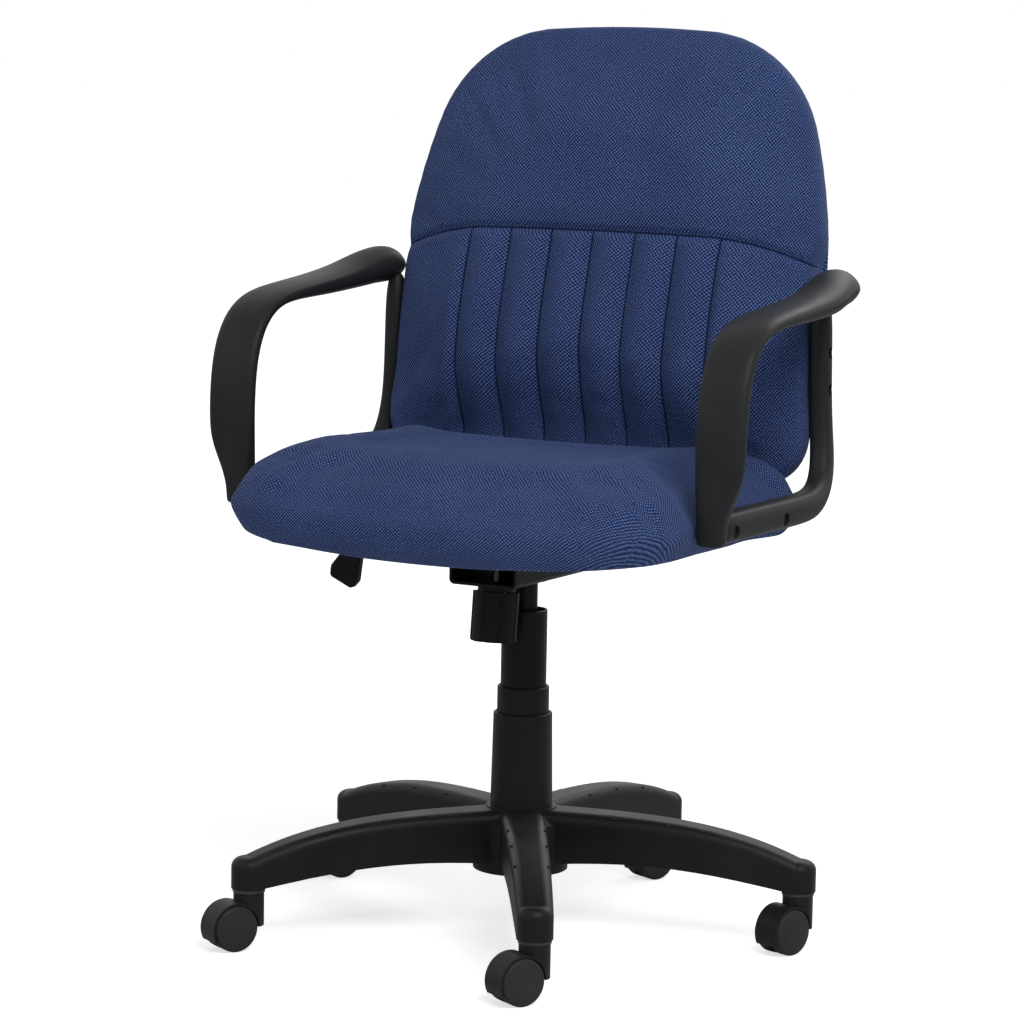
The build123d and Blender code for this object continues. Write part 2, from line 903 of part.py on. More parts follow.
with BuildPart() as tee_nuts:
    with BuildSketch(Plane.XY.offset(seat_board_top)):
        with GridLocations(2 * plate_bolt_x, 2 * plate_bolt_y, 2, 2):
            Circle(tee_nut_radius)
    extrude(amount=-tee_nut_flange)
save(tee_nuts, "tee_nuts")


# Tension bolt, spring washer, spring and knob, all on the leaning bolt axis.

knob_bottom_drop = knob_top_drop + knob_height
washer_drop = knob_bottom_drop - knob_floor

with BuildPart() as tension_bolt:
    with BuildSketch(Plane.YZ):
        with Locations((bar_y, bar_z)):
            Circle(bar_radius)
    extrude(amount=bar_length / 2, both=True)
    with BuildSketch(bolt_plane):
        Circle(bolt_radius)
    extrude(amount=-bolt_reach)
save(tension_bolt, "tension_bolt")

with BuildPart() as spring_washer:
    with BuildSketch(bolt_plane.offset(-washer_drop)):
        Circle(spring_radius + spring_wire / 2)
        Circle(bolt_radius, mode=Mode.SUBTRACT)
    extrude(amount=spring_washer_thickness)
save(spring_washer, "spring_washer")

with BuildPart() as tension_knob:
    with BuildSketch(bolt_plane.offset(-knob_bottom_drop)):
        Circle(knob_radius)
        with PolarLocations(knob_radius + knob_flute_offset, knob_flute_count):
            Circle(knob_flute_radius, mode=Mode.SUBTRACT)
    extrude(amount=knob_height)
    with BuildSketch(bolt_plane.offset(-washer_drop)):
        Circle(knob_radius - knob_wall)
    extrude(amount=knob_height, mode=Mode.SUBTRACT)
    with BuildSketch(bolt_plane.offset(-knob_bottom_drop)):
        Circle(bolt_radius + shaft_clearance)
    extrude(amount=knob_floor, mode=Mode.SUBTRACT)
    bottom_rim = tension_knob.faces().sort_by(Axis.Z)[0].outer_wire().edges()
    chamfer(bottom_rim, knob_rim_chamfer)
save(tension_knob, "tension_knob")


def biarc(start, start_tangent, end, end_tangent):
    """Two arcs that join two points of a curve and keep its direction at both."""
    chord = end - start
    sum_tangent = start_tangent + end_tangent
    quadratic = 2 * (1 - start_tangent.dot(end_tangent))
    linear = 2 * chord.dot(sum_tangent)
    length = (-linear + math.sqrt(linear**2 + 4 * quadratic * chord.dot(chord))) / (2 * quadratic)
    middle = (start + start_tangent * length + end - end_tangent * length) * 0.5
    first = TangentArc(start, middle, tangent=start_tangent)
    TangentArc(middle, end, tangent=first % 1)


spring_bottom = -washer_drop + spring_washer_thickness + spring_wire / 2 + moving_gap
spring_top = -floor_drop - sheet - spring_wire / 2 - moving_gap
spring_rise = (spring_top - spring_bottom) / spring_turns
quarter_turns = 4 * spring_turns


def spring_point(step):
    angle = math.pi / 2 * step
    return Vector(
        spring_radius * math.cos(angle),
        spring_radius * math.sin(angle),
        spring_bottom + spring_rise * step / 4,
    )


def spring_direction(step):
    angle = math.pi / 2 * step
    climb = spring_rise / (2 * math.pi)
    return Vector(-spring_radius * math.sin(angle), spring_radius * math.cos(angle), climb).normalized()


with BuildPart() as coil_form:
    with BuildLine() as coil_path:
        for step in range(quarter_turns):
            biarc(
                spring_point(step),
                spring_direction(step),
                spring_point(step + 1),
                spring_direction(step + 1),
            )
    with BuildSketch(Plane(origin=spring_point(0), z_dir=spring_direction(0))):
        Circle(spring_wire / 2)
    sweep()

with BuildPart() as tension_spring:
    with Locations(bolt_plane.location):
        add(coil_form.part)
save(tension_spring, "tension_spring")
print("tension spring: least gap between turns", round(spring_rise - spring_wire, 2), "mm")


# Height lever: the rod slides and rocks in a bush in the housing wall.

with BuildPart() as lever_bush:
    bush_plane = Plane.YZ.offset(lever_pivot_x)
    with BuildSketch(bush_plane):
        with Locations((0, lever_z)):
            Circle(bush_radius)
    extrude(amount=bush_inner_reach)
    with BuildSketch(bush_plane):
        with Locations((0, lever_z)):
            Circle(bush_radius)
    extrude(amount=-bush_outer_reach)
    with BuildSketch(bush_plane.offset(-bush_outer_reach)):
        with Locations((0, lever_z)):
            Circle(bush_flange_radius)
    extrude(amount=bush_flange_thickness)
    with BuildSketch(bush_plane):
        with Locations((0, lever_z)):
            Circle(lever_rod_radius + shaft_clearance)
    extrude(amount=2 * bush_outer_reach, both=True, mode=Mode.SUBTRACT)
save(lever_bush, "lever_bush")

with BuildPart() as lever_rod:
    with BuildLine():
        FilletPolyline(
            (lever_inner_end, 0, lever_z),
            (lever_bend_x, 0, lever_z),
            (lever_end_x, lever_end_y, lever_end_z),
            radius=lever_bend_radius,
        )
    with BuildSketch(Plane.YZ.offset(lever_inner_end)):
        with Locations((0, lever_z)):
            Circle(lever_rod_radius)
    sweep()
save(lever_rod, "lever_rod")

paddle_across = Vector(math.cos(math.radians(paddle_tilt)), 0, -math.sin(math.radians(paddle_tilt)))
paddle_plane = Plane(
    origin=(lever_end_x, lever_end_y, lever_end_z),
    x_dir=paddle_across,
    z_dir=(0, -1, 0),
)

with BuildPart() as lever_paddle:
    neck = paddle_neck_width / 2
    end = paddle_end_width / 2
    drop = paddle_length
    with BuildSketch(paddle_plane) as paddle_outline:
        with BuildLine():
            Polyline(
                (-neck, neck),
                (neck, neck),
                (neck, 0),
                (end, -drop * paddle_belly_share),
                (end * paddle_tail_share, -drop + neck),
                (-end * paddle_tail_share, -drop + neck),
                (-end, -drop * paddle_belly_share),
                (-neck, 0),
                close=True,
            )
        make_face()
        fillet(paddle_outline.vertices(), paddle_corner)
    extrude(amount=paddle_thickness / 2, both=True)
    chamfer(lever_paddle.edges().group_by(Axis.Y)[0], paddle_edge_chamfer)
    chamfer(lever_paddle.edges().group_by(Axis.Y)[-1], paddle_edge_chamfer)
    add(lever_rod.part, mode=Mode.SUBTRACT)
save(lever_paddle, "lever_paddle")


# Seat: a plywood board with two side rails, a dust cover, and a crowned cushion
# that wraps down over the board's edge.

def seat_outline(level, inset):
    """Plan of the seat, drawn in by inset all round."""
    side = seat_half_width - inset
    rear_side = seat_rear_half_width - inset
    front = -seat_front + inset
    rear = seat_rear - inset
    with BuildSketch(Plane.XY.offset(level)) as plan:
        with BuildLine():
            bow = seat_front_bow
            ThreePointArc((-side, front + bow), (0, front), (side, front + bow))
            Polyline((side, front + bow), (rear_side, rear), (-rear_side, rear), (-side, front + bow))
        make_face()
        front_corner = max(seat_front_corner - inset / 2, seat_rear_corner)
        rear_corner = max(seat_rear_corner - inset / 2, seat_rear_corner / 3)
        fillet(plan.vertices().group_by(Axis.Y)[0], front_corner)
        fillet(plan.vertices().group_by(Axis.Y)[-1], rear_corner)
    return plan.sketch


def arm_bolt_shafts(radius):
    """Shafts on the axes of the bolts that hold the arms to the seat and the back."""
    reach = arm_outer_x
    places = [(y, arm_seat_bolt_z) for y in arm_seat_bolt_ys]
    places += [(arm_post_y, z) for z in arm_back_bolt_zs]
    with BuildPart() as shafts:
        for side in (-1, 1):
            with BuildSketch(Plane.YZ):
                with Locations(*places):
                    Circle(radius)
            extrude(amount=side * reach)
    return shafts.part


rail_outer_x = seat_rear_half_width - seat_rail_inset
rail_inner_x = rail_outer_x - seat_rail_width

with BuildPart() as seat_board:
    extrude(seat_outline(seat_board_bottom, seat_board_margin), amount=seat_board_thickness)
    with BuildSketch(Plane.XY.offset(seat_board_bottom)):
        with GridLocations(2 * plate_bolt_x, 2 * plate_bolt_y, 2, 2):
            Circle(plate_bolt_diameter / 2)
    extrude(amount=seat_board_thickness, mode=Mode.SUBTRACT)
    with BuildSketch(Plane.XY.offset(seat_board_top)):
        with GridLocations(2 * plate_bolt_x, 2 * plate_bolt_y, 2, 2):
            Circle(tee_nut_radius)
    extrude(amount=-tee_nut_flange, mode=Mode.SUBTRACT)
save(seat_board, "seat_board")

bolt_hole_tools = arm_bolt_shafts(arm_bolt_radius)


def seat_rail_sketch():
    with BuildSketch(Plane.XY.offset(seat_board_top)) as rails:
        middle_y = (seat_rail_front + seat_rail_rear) / 2
        for side in (-1, 1):
            with Locations((side * (rail_outer_x + rail_inner_x) / 2, middle_y)):
                RectangleRounded(seat_rail_width, seat_rail_rear - seat_rail_front, seat_rail_width / 4)
    return rails.sketch


with BuildPart() as seat_rails:
    extrude(seat_rail_sketch(), amount=seat_rail_height)
    add(bolt_hole_tools, mode=Mode.SUBTRACT)
save(seat_rails, "seat_rails")

with BuildPart() as dust_cover:
    cover_plan = seat_outline(seat_board_bottom, seat_board_margin + dust_cover_margin)
    extrude(cover_plan, amount=-dust_cover_thickness)
    with BuildSketch(Plane.XY.offset(seat_board_bottom)):
        with Locations((0, (plate_front + plate_rear) / 2)):
            RectangleRounded(
                2 * (plate_half_width + moving_gap),
                plate_rear - plate_front + 2 * moving_gap,
                plate_corner + moving_gap,
            )
    extrude(amount=-dust_cover_thickness, mode=Mode.SUBTRACT)
save(dust_cover, "dust_cover")

# the cushion's section, from the turned-in lip to the crown
seat_rise = seat_top - seat_widest_level
seat_roll = [(seat_lip_bottom + height, inset) for height, inset in seat_lip_roll]
seat_roll += [(seat_widest_level + share * seat_rise, inset) for share, inset in seat_crown_roll]
lip_radius = seat_half_width**2 / (2 * seat_lip_side_rise)

with BuildPart() as seat_cushion:
    loft([seat_outline(level, inset) for level, inset in seat_roll])
    # the lower edge rises towards both sides
    with BuildSketch(Plane.XZ) as under_side:
        with Locations((0, seat_lip_bottom - seat_half_width)):
            Rectangle(4 * seat_half_width, 4 * seat_half_width)
        with Locations((0, seat_lip_bottom + lip_radius)):
            Circle(lip_radius, mode=Mode.SUBTRACT)
    extrude(amount=2 * seat_front, both=True, mode=Mode.SUBTRACT)
    # room for the board, its rails and what is fixed to them
    pocket_depth = seat_board_top - seat_lip_bottom + seat_board_thickness
    extrude(
        seat_outline(seat_board_top, seat_board_margin),
        amount=-pocket_depth,
        mode=Mode.SUBTRACT,
    )
    extrude(seat_rail_sketch(), amount=seat_rail_height, mode=Mode.SUBTRACT)
    add(bolt_hole_tools, mode=Mode.SUBTRACT)
save(seat_cushion, "seat_cushion")


# Backrest: a board with side rails between the channelled front cushion and the
# upholstered rear shell. Depth runs forward from the plane of the widest outline.

def back_outline(depth, inset, low=0.0):
    """Outline of the back at one depth, drawn in by inset, above the height low."""
    side = back_half_width - inset
    foot = back_bottom_half_width - inset
    shoulder = back_shoulder_half_width - inset * back_shoulder_follow
    top = back_height - inset
    shoulder_height = back_shoulder_height - inset
    bottom = inset
    with BuildSketch(back_plane.offset(depth)) as outline:
        with BuildLine():
            Line((-foot, bottom), (foot, bottom))
            ThreePointArc((foot, bottom), (side, back_widest_height), (shoulder, shoulder_height))
            ThreePointArc((shoulder, shoulder_height), (0, top), (-shoulder, shoulder_height))
            ThreePointArc((-shoulder, shoulder_height), (-side, back_widest_height), (-foot, bottom))
        make_face()
        fillet(outline.vertices().group_by(Axis.Y)[-1], back_shoulder_round - inset / 2)
        fillet(outline.vertices().group_by(Axis.Y)[0], max(back_bottom_round - inset / 2, back_least_corner))
        if low:
            with Locations((0, low)):
                Rectangle(
                    4 * back_half_width,
                    4 * back_half_width,
                    align=(Align.CENTER, Align.MAX),
                    mode=Mode.SUBTRACT,
                )
    return outline.sketch


def arm_room():
    """Flats on the sides of the back where the arms' rear posts and rests pass."""
    with BuildPart() as room:
        for side in (-1, 1):
            with Locations((side * (arm_post_inner_x - arm_side_room), 0, back_origin_z)):
                Box(
                    2 * arm_ribbon_width,
                    4 * back_half_width,
                    arm_paddle_z - back_origin_z + arm_ribbon_width,
                    align=(Align.MIN if side > 0 else Align.MAX, Align.CENTER, Align.MIN),
                )
    return room.part


arm_flats = arm_room()
board_front_depth = -back_rear_depth + back_board_thickness
core_inset = back_front_roll[-1][1]

with BuildPart() as back_board:
    extrude(back_outline(-back_rear_depth, back_board_margin), amount=back_board_thickness)
    add(bolt_hole_tools, mode=Mode.SUBTRACT)
save(back_board, "back_board")

back_rail_outer_x = back_bottom_half_width - back_board_margin / 2
back_rail_inner_x = back_rail_outer_x - back_rail_width


def back_rail_sketch():
    with BuildSketch(back_plane.offset(board_front_depth)) as rails:
        for side in (-1, 1):
            with Locations(
                (
                    side * (back_rail_outer_x + back_rail_inner_x) / 2,
                    (back_rail_low + back_rail_high) / 2,
                )
            ):
                Rectangle(back_rail_width, back_rail_high - back_rail_low)
    return rails.sketch


with BuildPart() as back_rails:
    extrude(back_rail_sketch(), amount=back_rail_depth)
    add(bolt_hole_tools, mode=Mode.SUBTRACT)
save(back_rails, "back_rails")

with BuildPart() as back_shell:
    shell_thickness = back_shell_depth - back_rear_depth
    loft(
        [
            back_outline(-back_rear_depth - share * shell_thickness, inset)
            for share, inset in back_shell_roll
        ]
    )
    add(arm_flats, mode=Mode.SUBTRACT)
    add(bolt_hole_tools, mode=Mode.SUBTRACT)
save(back_shell, "back_shell")


def channel_section(depth, left, right, low, high):
    with BuildSketch(back_plane.offset(depth)) as section:
        with Locations(((left + right) / 2, (low + high) / 2)):
            Rectangle(right - left, high - low)
    return section.sketch


crown_rise = back_crown_depth - back_core_depth
panel_root = back_core_depth - back_panel_overlap

with BuildPart() as back_cushion:
    rear_sections = [back_outline(-share * back_rear_depth, inset) for share, inset in back_rear_roll]
    front_sections = [back_outline(share * back_core_depth, inset) for share, inset in back_front_roll]
    loft(rear_sections + front_sections)
    # plain upper panel
    upper_low = back_seam_height + back_seam_gap / 2
    panel_sections = [back_outline(panel_root, core_inset, upper_low)]
    for share, inset, lift in back_panel_roll:
        depth = back_core_depth + share * crown_rise
        panel_sections.append(back_outline(depth, core_inset + inset, upper_low + lift))
    loft(panel_sections, ruled=True)
    # sewn channels of the lower panel, each with its own crown
    side_field = back_bottom_half_width - core_inset
    seam_lines = [-channel_field + channel_pitch * k for k in range(channel_count + 1)]
    field_edges = [-side_field] + seam_lines + [side_field]
    channel_low = core_inset + channel_foot_gap
    channel_high = back_seam_height - back_seam_gap / 2
    half_seam = channel_seam_width / 2
    for left, right in zip(field_edges[:-1], field_edges[1:]):
        root_sides = (left + half_seam, right - half_seam)
        sections = [channel_section(panel_root, *root_sides, channel_low, channel_high)]
        for share, side_inset, low_inset, high_inset in channel_roll:
            sections.append(
                channel_section(
                    back_core_depth + share * crown_rise,
                    left + side_inset,
                    right - side_inset,
                    channel_low + low_inset,
                    channel_high - high_inset,
                )
            )
        loft(sections, ruled=True)
    add(arm_flats, mode=Mode.SUBTRACT)
    # room for the board, the rails and the bolts
    extrude(
        back_outline(-back_rear_depth, back_board_margin),
        amount=back_board_thickness,
        mode=Mode.SUBTRACT,
    )
    extrude(back_rail_sketch(), amount=back_rail_depth, mode=Mode.SUBTRACT)
    add(bolt_hole_tools, mode=Mode.SUBTRACT)
save(back_cushion, "back_cushion")


# Loop arms: a broad ribbon rises in front and runs back as the arm rest, and a
# slimmer post and bottom bar close the loop.

def arm_section(x, y, z, slope, width, thickness, bank=0.0):
    """Rounded section across the arm. Slope is the run's angle above the rear horizon."""
    run = Vector(0, math.cos(math.radians(slope)), math.sin(math.radians(slope)))
    across = Vector(1, 0, 0).rotate(Axis((0, 0, 0), run), bank)
    corner = min(arm_edge_round, 0.45 * thickness, 0.45 * width)
    with BuildSketch(Plane(origin=(x, y, z), x_dir=across, z_dir=run)) as section:
        RectangleRounded(width, thickness, corner)
    return section.sketch


ribbon_x = arm_outer_x - arm_ribbon_width / 2
bar_x = arm_bar_outer_x - arm_bar_width / 2
upright_y = arm_front_y + arm_ribbon_thickness / 2
foot_y = arm_front_y + arm_foot_thickness / 2
bar_bottom = arm_bar_z - arm_bar_height / 2
bar_top = arm_bar_z + arm_bar_height / 2
foot_width = arm_bar_width + 2 * arm_foot_step
post_front_y = arm_post_y - arm_post_depth / 2
post_rear_y = arm_post_y + arm_post_depth / 2
post_top = arm_paddle_z
corner_thickness = (arm_ribbon_thickness + arm_rest_thickness) / 2
tip_width = arm_paddle_width - 2 * arm_tip_round


def sway(low_x, low_z, high_x, high_z):
    """Two arcs that carry an upright line sideways and leave it upright again."""
    middle = ((low_x + high_x) / 2, (low_z + high_z) / 2)
    first = TangentArc((low_x, low_z), middle, tangent=(0, 1))
    TangentArc(middle, (high_x, high_z), tangent=first % 1)


with BuildPart() as arm_left:
    # rear post and bottom bar: the side view trimmed by the front view
    with BuildSketch(Plane.YZ):
        with BuildLine():
            outer_bend = (post_rear_y, bar_bottom + arm_outer_bend)
            inner_bend = (post_front_y - arm_inner_bend, bar_top)
            Polyline(
                (post_front_y, bar_top + arm_inner_bend),
                (post_front_y, post_top),
                (post_rear_y, post_top),
                outer_bend,
            )
            TangentArc(outer_bend, (post_rear_y - arm_outer_bend, bar_bottom), tangent=(0, -1))
            Polyline(
                (post_rear_y - arm_outer_bend, bar_bottom),
                (upright_y, bar_bottom),
                (upright_y, bar_top),
                inner_bend,
            )
            TangentArc(inner_bend, (post_front_y, bar_top + arm_inner_bend), tangent=(1, 0))
        make_face()
    extrude(amount=arm_outer_x)
    with BuildSketch(Plane.XZ):
        with BuildLine():
            sway_low = bar_top + arm_edge_round
            Polyline(
                (arm_bar_inner_x, sway_low),
                (arm_bar_inner_x, 0),
                (arm_bar_outer_x, 0),
                (arm_bar_outer_x, sway_low),
            )
            sway(arm_bar_outer_x, sway_low, arm_post_outer_x, arm_sway_top)
            Polyline(
                (arm_post_outer_x, arm_sway_top),
                (arm_post_outer_x, 2 * post_top),
                (arm_post_inner_x, 2 * post_top),
                (arm_post_inner_x, arm_sway_top),
            )
            sway(arm_bar_inner_x, sway_low, arm_post_inner_x, arm_sway_top)
        make_face()
    extrude(amount=2 * arm_end_y, both=True, mode=Mode.INTERSECT)
    rims = arm_left.edges().filter_by(Axis.X, reverse=True)
    rims = rims.filter_by_position(Axis.Y, upright_y + 1, arm_end_y)
    fillet(rims.filter_by_position(Axis.Z, 0, post_top - 1), arm_edge_round)
    # bolt holes with recesses for the heads
    add(bolt_hole_tools, mode=Mode.SUBTRACT)
    with BuildSketch(Plane.YZ.offset(arm_bar_outer_x - arm_bolt_recess)):
        with Locations(*[(y, arm_seat_bolt_z) for y in arm_seat_bolt_ys]):
            Circle(arm_bolt_head_radius + moving_gap)
    extrude(amount=2 * arm_bolt_recess, mode=Mode.SUBTRACT)
    with BuildSketch(Plane.YZ.offset(arm_post_outer_x - arm_bolt_recess)):
        with Locations(*[(arm_post_y, z) for z in arm_back_bolt_zs]):
            Circle(arm_bolt_head_radius + moving_gap)
    extrude(amount=2 * arm_bolt_recess, mode=Mode.SUBTRACT)
    # front upright, arm rest and the banked paddle at its rear end
    loft(
        [
            arm_section(
                bar_x, foot_y, bar_bottom - arm_foot_step, 90,
                foot_width - arm_edge_round, arm_foot_thickness - arm_edge_round,
            ),
            arm_section(bar_x, foot_y, bar_bottom + arm_edge_round, 90, foot_width, arm_foot_thickness),
            arm_section(bar_x, foot_y, bar_top - arm_edge_round, 90, foot_width, arm_foot_thickness),
            arm_section(
                (bar_x + ribbon_x) / 2, (foot_y + upright_y) / 2,
                bar_top + arm_flare_share * arm_flare_height, 90,
                (foot_width + arm_ribbon_width) / 2, (arm_foot_thickness + arm_ribbon_thickness) / 2,
            ),
            arm_section(
                ribbon_x, upright_y, bar_top + arm_flare_height, 90,
                arm_ribbon_width, arm_ribbon_thickness,
            ),
            arm_section(
                ribbon_x, upright_y + arm_upright_lean,
                (bar_top + arm_corner_z) / 2 + arm_upright_rise, arm_upright_slope,
                arm_ribbon_width, arm_ribbon_thickness,
            ),
            arm_section(
                ribbon_x, upright_y + arm_shoulder_lean, arm_corner_z - arm_shoulder_drop,
                arm_shoulder_slope, arm_ribbon_width, arm_ribbon_thickness,
            ),
            arm_section(
                ribbon_x, arm_corner_y, arm_corner_z, arm_corner_slope,
                arm_ribbon_width, corner_thickness,
            ),
            arm_section(
                ribbon_x, arm_corner_y / 2, arm_rest_front_z, arm_rest_front_slope,
                arm_ribbon_width, arm_rest_thickness,
            ),
            arm_section(
                ribbon_x, -arm_corner_y / 2, (arm_rest_front_z + arm_rest_rear_z) / 2,
                arm_rest_slope, arm_ribbon_width, arm_rest_thickness,
            ),
            arm_section(
                ribbon_x, -arm_corner_y * arm_rest_rear_share, arm_rest_rear_z, arm_rest_rear_slope,
                (arm_ribbon_width + arm_paddle_width) / 2, arm_rest_thickness,
                arm_paddle_bank * arm_rest_bank_share,
            ),
            arm_section(
                arm_paddle_x, arm_paddle_y, arm_paddle_z, arm_paddle_slope,
                arm_paddle_width, arm_rest_thickness, arm_paddle_bank,
            ),
            arm_section(
                arm_paddle_x, arm_end_y - arm_tip_round, arm_paddle_z + arm_tip_lift, arm_tip_slope,
                arm_paddle_width - arm_tip_round / 2, arm_rest_thickness - arm_tip_thinning,
                arm_paddle_bank,
            ),
            arm_section(
                arm_paddle_x, arm_end_y, arm_paddle_z + arm_end_lift, arm_end_slope,
                tip_width, arm_rest_thickness / 2, arm_paddle_bank,
            ),
        ]
    )
save(arm_left, "arm_left")

with BuildPart() as arm_right:
    add(mirror(arm_left.part, about=Plane.YZ))
save(arm_right, "arm_right")


def arm_bolts(outer_x, places, grip_x):
    """Bolts along X on both sides, with their heads in the arm's recesses."""
    seat_x = outer_x - arm_bolt_recess
    with BuildPart() as bolts:
        for side in (-1, 1):
            with BuildSketch(Plane.YZ.offset(side * seat_x)):
                with Locations(*places):
                    Circle(arm_bolt_head_radius)
            extrude(amount=side * arm_bolt_head_height)
            with BuildSketch(Plane.YZ.offset(side * seat_x)):
                with Locations(*places):
                    Circle(arm_bolt_radius)
            extrude(amount=-side * (seat_x - grip_x))
    return bolts


seat_bolt_places = [(y, arm_seat_bolt_z) for y in arm_seat_bolt_ys]
back_bolt_places = [(arm_post_y, z) for z in arm_back_bolt_zs]
save(arm_bolts(arm_bar_outer_x, seat_bolt_places, rail_outer_x - arm_bolt_grip), "arm_seat_bolts")
save(arm_bolts(arm_post_outer_x, back_bolt_places, back_rail_outer_x - arm_bolt_grip), "arm_back_bolts")
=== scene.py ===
# %% [markdown]
# # A swivel office chair
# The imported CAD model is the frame: its rigid pieces stay where they are and get finishes.
# The upholstery is made here, because cloth over foam has soft forms that solids only suggest.
# The loop arms are made here too, with thicker rear ends and straighter posts than their solids.
# Everything is in metres, the chair faces -Y, and the origin is on the floor under the column.

# %% Load the frame
import json
import math

import bmesh
import bpy
from mathutils import Matrix, Vector


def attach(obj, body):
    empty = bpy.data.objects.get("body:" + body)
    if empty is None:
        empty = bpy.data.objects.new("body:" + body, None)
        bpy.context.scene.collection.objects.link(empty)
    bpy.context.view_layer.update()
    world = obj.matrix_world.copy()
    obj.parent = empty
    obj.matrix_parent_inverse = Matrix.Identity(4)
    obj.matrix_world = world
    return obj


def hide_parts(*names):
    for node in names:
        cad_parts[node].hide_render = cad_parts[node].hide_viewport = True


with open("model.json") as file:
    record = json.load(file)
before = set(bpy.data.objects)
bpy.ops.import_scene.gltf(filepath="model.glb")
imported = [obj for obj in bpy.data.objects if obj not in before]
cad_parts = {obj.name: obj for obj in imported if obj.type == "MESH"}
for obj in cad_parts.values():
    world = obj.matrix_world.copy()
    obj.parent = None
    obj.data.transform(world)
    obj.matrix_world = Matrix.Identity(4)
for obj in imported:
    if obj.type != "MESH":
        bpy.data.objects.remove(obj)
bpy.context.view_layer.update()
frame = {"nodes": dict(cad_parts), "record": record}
nodes = frame["nodes"]
slot_of_node = {part["node"]: part["material_slot"] for part in frame["record"]["subparts"]}

# %% [markdown]
# ## The camera
# The photograph was taken from the front, a little to the sitter's left, from about head height of
# a kneeling person. A long lens keeps the legs of the base from flaring. The camera's axes are
# worked out from turn, pitch and roll, so that each angle can be read and changed by itself.

# %% Camera
photo_pixels = 1024
sensor_mm = 36.0
focal_pixels = 3636.0
camera_turn = math.radians(29.0)
camera_pitch = math.radians(7.55)
camera_yaw = math.radians(-0.23)
camera_roll = math.radians(1.0)
camera_distance = 3.908
camera_height = 0.978

forward = Vector((
    math.sin(camera_yaw) * math.cos(camera_pitch),
    math.cos(camera_yaw) * math.cos(camera_pitch),
    -math.sin(camera_pitch),
))
level = Vector((math.cos(camera_yaw), -math.sin(camera_yaw), 0.0))
upward = level.cross(forward)
right = level * math.cos(camera_roll) + upward * math.sin(camera_roll)
upward = upward * math.cos(camera_roll) - level * math.sin(camera_roll)
aim = Matrix((right, upward, -forward)).transposed()
orbit = Matrix.Rotation(camera_turn, 3, "Z")

camera_data = bpy.data.cameras.new("photo_camera")
camera_data.sensor_width = sensor_mm
camera_data.lens = focal_pixels * sensor_mm / photo_pixels
camera_data.dof.use_dof = False
camera = bpy.data.objects.new("photo_camera", camera_data)
camera.matrix_world = (
    Matrix.Translation(orbit @ Vector((0.0, -camera_distance, camera_height)))
    @ (orbit @ aim).to_4x4()
)
scene = bpy.context.scene
scene.collection.objects.link(camera)
scene.camera = camera
scene.view_settings.view_transform = "Standard"
print("lens", round(camera_data.lens, 1), "mm at", [round(v, 3) for v in camera.location])

# %% [markdown]
# ## Studio light
# A product photograph like this one has a white sweep, a large soft key from the upper right, a
# weaker fill from the left and light from behind that draws the edges of black plastic.

# %% Lamps


def link(tree, source, target):
    tree.links.new(source, target)


def area_lamp(name, power, size, place, target):
    lamp = bpy.data.lights.new(name, "AREA")
    lamp.energy = power
    lamp.shape = "RECTANGLE"
    lamp.size, lamp.size_y = size
    holder = bpy.data.objects.new(name, lamp)
    place = Vector(place)
    turned = (Vector(target) - place).to_track_quat("-Z", "Y").to_matrix().to_4x4()
    holder.matrix_world = Matrix.Translation(place) @ turned
    scene.collection.objects.link(holder)


seat_middle = (0.0, 0.0, 0.5)
area_lamp("key", 54.0, (1.7, 1.5), (1.7, -1.5, 2.5), seat_middle)
area_lamp("fill", 8.0, (1.6, 1.8), (-2.0, -2.2, 1.7), seat_middle)
area_lamp("rim", 22.0, (2.2, 1.0), (0.6, 2.2, 2.2), seat_middle)

# %% [markdown]
# The sky is white only to camera, glossy and transmission rays. To all other rays it is a weak,
# slightly cool light that opens up the shadows.

# %% Background
ambient_strength = 0.19
world = bpy.data.worlds.new("white_sweep")
scene.world = world
world.use_nodes = True
tree = world.node_tree
tree.nodes.clear()
seen = tree.nodes.new("ShaderNodeLightPath")
camera_or_glossy = tree.nodes.new("ShaderNodeMath")
camera_or_glossy.operation = "MAXIMUM"
seen_white = tree.nodes.new("ShaderNodeMath")
seen_white.operation = "MAXIMUM"
link(tree, seen.outputs["Is Camera Ray"], camera_or_glossy.inputs[0])
link(tree, seen.outputs["Is Glossy Ray"], camera_or_glossy.inputs[1])
link(tree, camera_or_glossy.outputs[0], seen_white.inputs[0])
link(tree, seen.outputs["Is Transmission Ray"], seen_white.inputs[1])
ambient = tree.nodes.new("ShaderNodeBackground")
ambient.inputs["Color"].default_value = (0.93, 0.96, 1.0, 1.0)
ambient.inputs["Strength"].default_value = ambient_strength
white = tree.nodes.new("ShaderNodeBackground")
white.inputs["Color"].default_value = (1.0, 1.0, 1.0, 1.0)
white.inputs["Strength"].default_value = 1.0
choose = tree.nodes.new("ShaderNodeMixShader")
sky = tree.nodes.new("ShaderNodeOutputWorld")
link(tree, seen_white.outputs[0], choose.inputs["Fac"])
link(tree, ambient.outputs[0], choose.inputs[1])
link(tree, white.outputs[0], choose.inputs[2])
link(tree, choose.outputs[0], sky.inputs["Surface"])
print("background", world.name, "ambient", ambient_strength)

# %% [markdown]
# The floor shows white to the camera, but it is a real diffuse surface, so the casters keep their
# soft contact shadows. Away from the chair it glows fully white and runs into the background.

